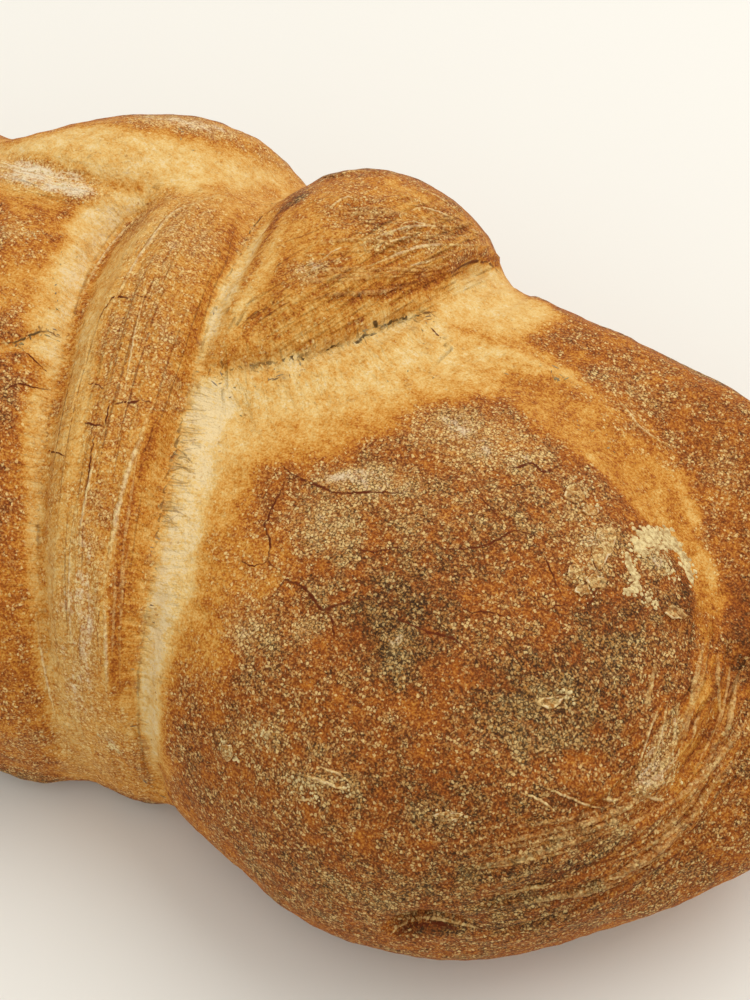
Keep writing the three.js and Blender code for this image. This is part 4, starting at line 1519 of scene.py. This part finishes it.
def scatter_along(stops, how_many, reach, across_share, length, thickness):
    """Lays slivers at random beside a line drawn over the photograph, with a share of
    them across it."""
    line = trace(stops)
    for _ in range(how_many):
        i = random.randrange(len(line) - 1)
        ahead = (Vector(line[i + 1]) - Vector(line[i])).normalized()
        spot, normal, _, _ = surface.find_nearest(Vector(line[i]))
        across = normal.cross(ahead)
        spot = spot + across * random.gauss(0, reach) + ahead * random.uniform(-1, 1) * 0.001
        spot, normal, _, _ = surface.find_nearest(spot)
        heading = across if random.random() < across_share else ahead
        heading = heading + (ahead + across) * random.uniform(-0.5, 0.5)
        size = random.uniform(0.5, 1.2)
        bud(spot, normal, heading, length * size, thickness * size, random.random())


for stops, *amounts in LAVENDER_LINES:
    scatter_along(stops, *amounts)
for k in deep[FIRST_HIDDEN_BUD:LAST_HIDDEN_BUD]:
    size = random.uniform(0.5, 1.2)
    spot, normal, _, _ = surface.find_nearest(Vector(points[k]))
    heading = out_of_hollow(k) + Vector([random.uniform(-0.6, 0.6) for _ in range(3)])
    length = HIDDEN_BUD_LENGTH * size
    bud(spot, normal, heading, length, BUD_THICKNESS * size, random.random())

DRIED_COLOURS = [
    (0.0, (142, 126, 80)), (0.4, (166, 146, 98)), (0.7, (142, 124, 102)), (1.0, (118, 90, 54)),
]
dried = Recipe("dried_lavender")
dried_colour = dried.ramp(dried.layer("mark"), DRIED_COLOURS)
dried.feed(dried.shader.inputs["Base Color"], dried_colour)
dried.shader.inputs["Roughness"].default_value = 0.85
lavender = joined("lavender_bits", bud_points, bud_faces, bud_tints)
lavender.data.materials[0] = dried.material
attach(lavender, "root")


# ---- Flour clumps ----
# Flour that caked on the damp skin and baked on: pale crumbs from a fifth of a
# millimetre to two across, in drifts over the blisters and folds.

# Each ring's reach and its height, as shares of the crumb's size, and how far it sinks.
CLUMP_RINGS = ((0.55, 0.75), (1.0, 0.2))
CLUMP_SIDES = 6
CLUMP_FLATNESS = 0.5
CLUMP_SINK = 0.35
CAKED_COLOURS = [(0.34, (170, 132, 78)), (0.60, (230, 208, 150))]
# Each drift's line, how many crumbs it has, how far they stray, and the least and the
# greatest size.
DRIFTS = [
    ([(637, 552), (647, 539), (661, 535), (673, 542), (681, 553), (687, 567), (691, 580)],
     300, 0.0008, 0.0005, 0.0020),
    ([(640, 548), (650, 538), (662, 538), (672, 546)], 230, 0.0014, 0.0006, 0.0022),
    ([(627, 558), (632, 571), (636, 583), (628, 592)], 130, 0.0006, 0.0005, 0.0018),
    ([(646, 552), (658, 554), (668, 564), (674, 576)], 110, 0.0015, 0.0003, 0.0012),
    ([(576, 480), (590, 520), (592, 560), (586, 596)], 150, 0.0018, 0.0003, 0.0010),
    ([(646, 598), (656, 604)], 40, 0.0007, 0.0005, 0.0012),
    ([(290, 778), (310, 782), (340, 786), (352, 792)], 46, 0.0008, 0.0004, 0.0012),
    ([(295, 796), (315, 798)], 16, 0.0006, 0.0004, 0.0010),
    ([(222, 744), (232, 752), (238, 760)], 26, 0.0007, 0.0005, 0.0014),
    ([(250, 722), (264, 735), (262, 746)], 24, 0.0014, 0.0004, 0.0010),
    ([(560, 690), (570, 694), (566, 704)], 20, 0.0008, 0.0004, 0.0011),
    ([(102, 738), (110, 745), (118, 750)], 24, 0.0010, 0.0004, 0.0011),
    ([(436, 812), (452, 814), (466, 820)], 22, 0.0008, 0.0004, 0.0010),
    ([(640, 745), (660, 770), (674, 779), (640, 792)], 44, 0.0018, 0.0004, 0.0009),
    ([(20, 168), (50, 178), (85, 188)], 50, 0.0018, 0.0004, 0.0009),
    ([(4, 228), (20, 232), (38, 238)], 22, 0.0012, 0.0004, 0.0008),
    ([(470, 425), (500, 440), (540, 470)], 60, 0.0050, 0.0003, 0.0007),
    ([(300, 500), (340, 520), (380, 540)], 60, 0.0050, 0.0003, 0.0007),
]
clump_points = []
clump_faces = []


def clump(place, normal, size):
    """Adds a small uneven crumb that sits on the crust."""
    start = len(clump_points)
    side = normal.orthogonal().normalized()
    front = normal.cross(side)
    rise = normal * size * CLUMP_FLATNESS
    clump_points.append(place + rise * 0.5)
    turn_by = random.uniform(0, math.pi)
    for reach, height in CLUMP_RINGS:
        for k in range(CLUMP_SIDES):
            turn = 2 * math.pi * k / CLUMP_SIDES + turn_by
            out = side * math.cos(turn) + front * math.sin(turn)
            spot = place + out * size / 2 * reach * random.uniform(0.75, 1.25)
            clump_points.append(spot + rise * (height - CLUMP_SINK))
    for k in range(CLUMP_SIDES):
        nxt = (k + 1) % CLUMP_SIDES
        inner = start + 1
        outer = inner + CLUMP_SIDES
        clump_faces.append((start, inner + k, inner + nxt))
        clump_faces.append((inner + k, outer + k, outer + nxt, inner + nxt))


def drift(stops, how_many, reach, smallest, largest):
    """Drops crumbs of flour at random beside a line drawn over the photograph."""
    line = trace(stops, 1.5)
    for _ in range(how_many):
        spot = Vector(line[random.randrange(len(line))])
        spot += Vector([random.gauss(0, reach) for _ in range(3)])
        spot, normal, _, _ = surface.find_nearest(spot)
        clump(spot, normal, random.uniform(smallest, largest) * random.uniform(0.6, 1))


for stops, *amounts in DRIFTS:
    drift(stops, *amounts)

caked = Recipe("caked_flour")
caked_colour = caked.ramp(caked.math("ADD", caked.grain(0.0012), 0.5), CAKED_COLOURS)
caked.feed(caked.shader.inputs["Base Color"], caked_colour)
caked.shader.inputs["Roughness"].default_value = 0.9
clumps = joined("flour_clumps", clump_points, clump_faces, [0] * len(clump_points))
clumps.data.materials[0] = caked.material
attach(clumps, "root")


# ---- Floor and light ----
# A plain pale floor, and soft studio light from one big screen behind the loaf and
# above it, with a pale room all round.

FLOOR_SIZE = 6
SCREEN_WIDTH = 1.6
SCREEN_DEPTH = 1.2
SCREEN_POWER = 13.6
SCREEN_PLACE = (0.35, 0.75, 1.5)
SCREEN_COLOUR = (1.0, 0.985, 0.96)
ROOM_COLOUR = (1.0, 0.985, 0.945, 1)
ROOM_POWER = 0.78

bpy.ops.mesh.primitive_plane_add(size=FLOOR_SIZE, location=(0, 0, 0))
floor = bpy.context.object
floor.name = "floor"
pale = Recipe("pale_floor")
tone = pale.span(pale.grain(0.5), -0.5, 0.5)
pale_colour = pale.mix(tone, srgb(236, 233, 226), srgb(240, 238, 231))
pale.feed(pale.shader.inputs["Base Color"], pale_colour)
pale.shader.inputs["Roughness"].default_value = 0.7
floor.data.materials.append(pale.material)

screen_data = bpy.data.lights.new("screen", "AREA")
screen_data.shape = "RECTANGLE"
screen_data.size = SCREEN_WIDTH
screen_data.size_y = SCREEN_DEPTH
screen_data.energy = SCREEN_POWER
screen_data.color = SCREEN_COLOUR
screen = bpy.data.objects.new("screen", screen_data)
screen.location = SCREEN_PLACE
screen.rotation_mode = "QUATERNION"
screen.rotation_quaternion = Vector(SCREEN_PLACE).to_track_quat("Z", "Y")
bpy.context.scene.collection.objects.link(screen)

room = bpy.data.worlds.new("room")
bpy.context.scene.world = room
room.use_nodes = True
background = room.node_tree.nodes["Background"]
background.inputs["Color"].default_value = ROOM_COLOUR
background.inputs["Strength"].default_value = ROOM_POWER
bpy.context.scene.view_settings.view_transform = "Standard"
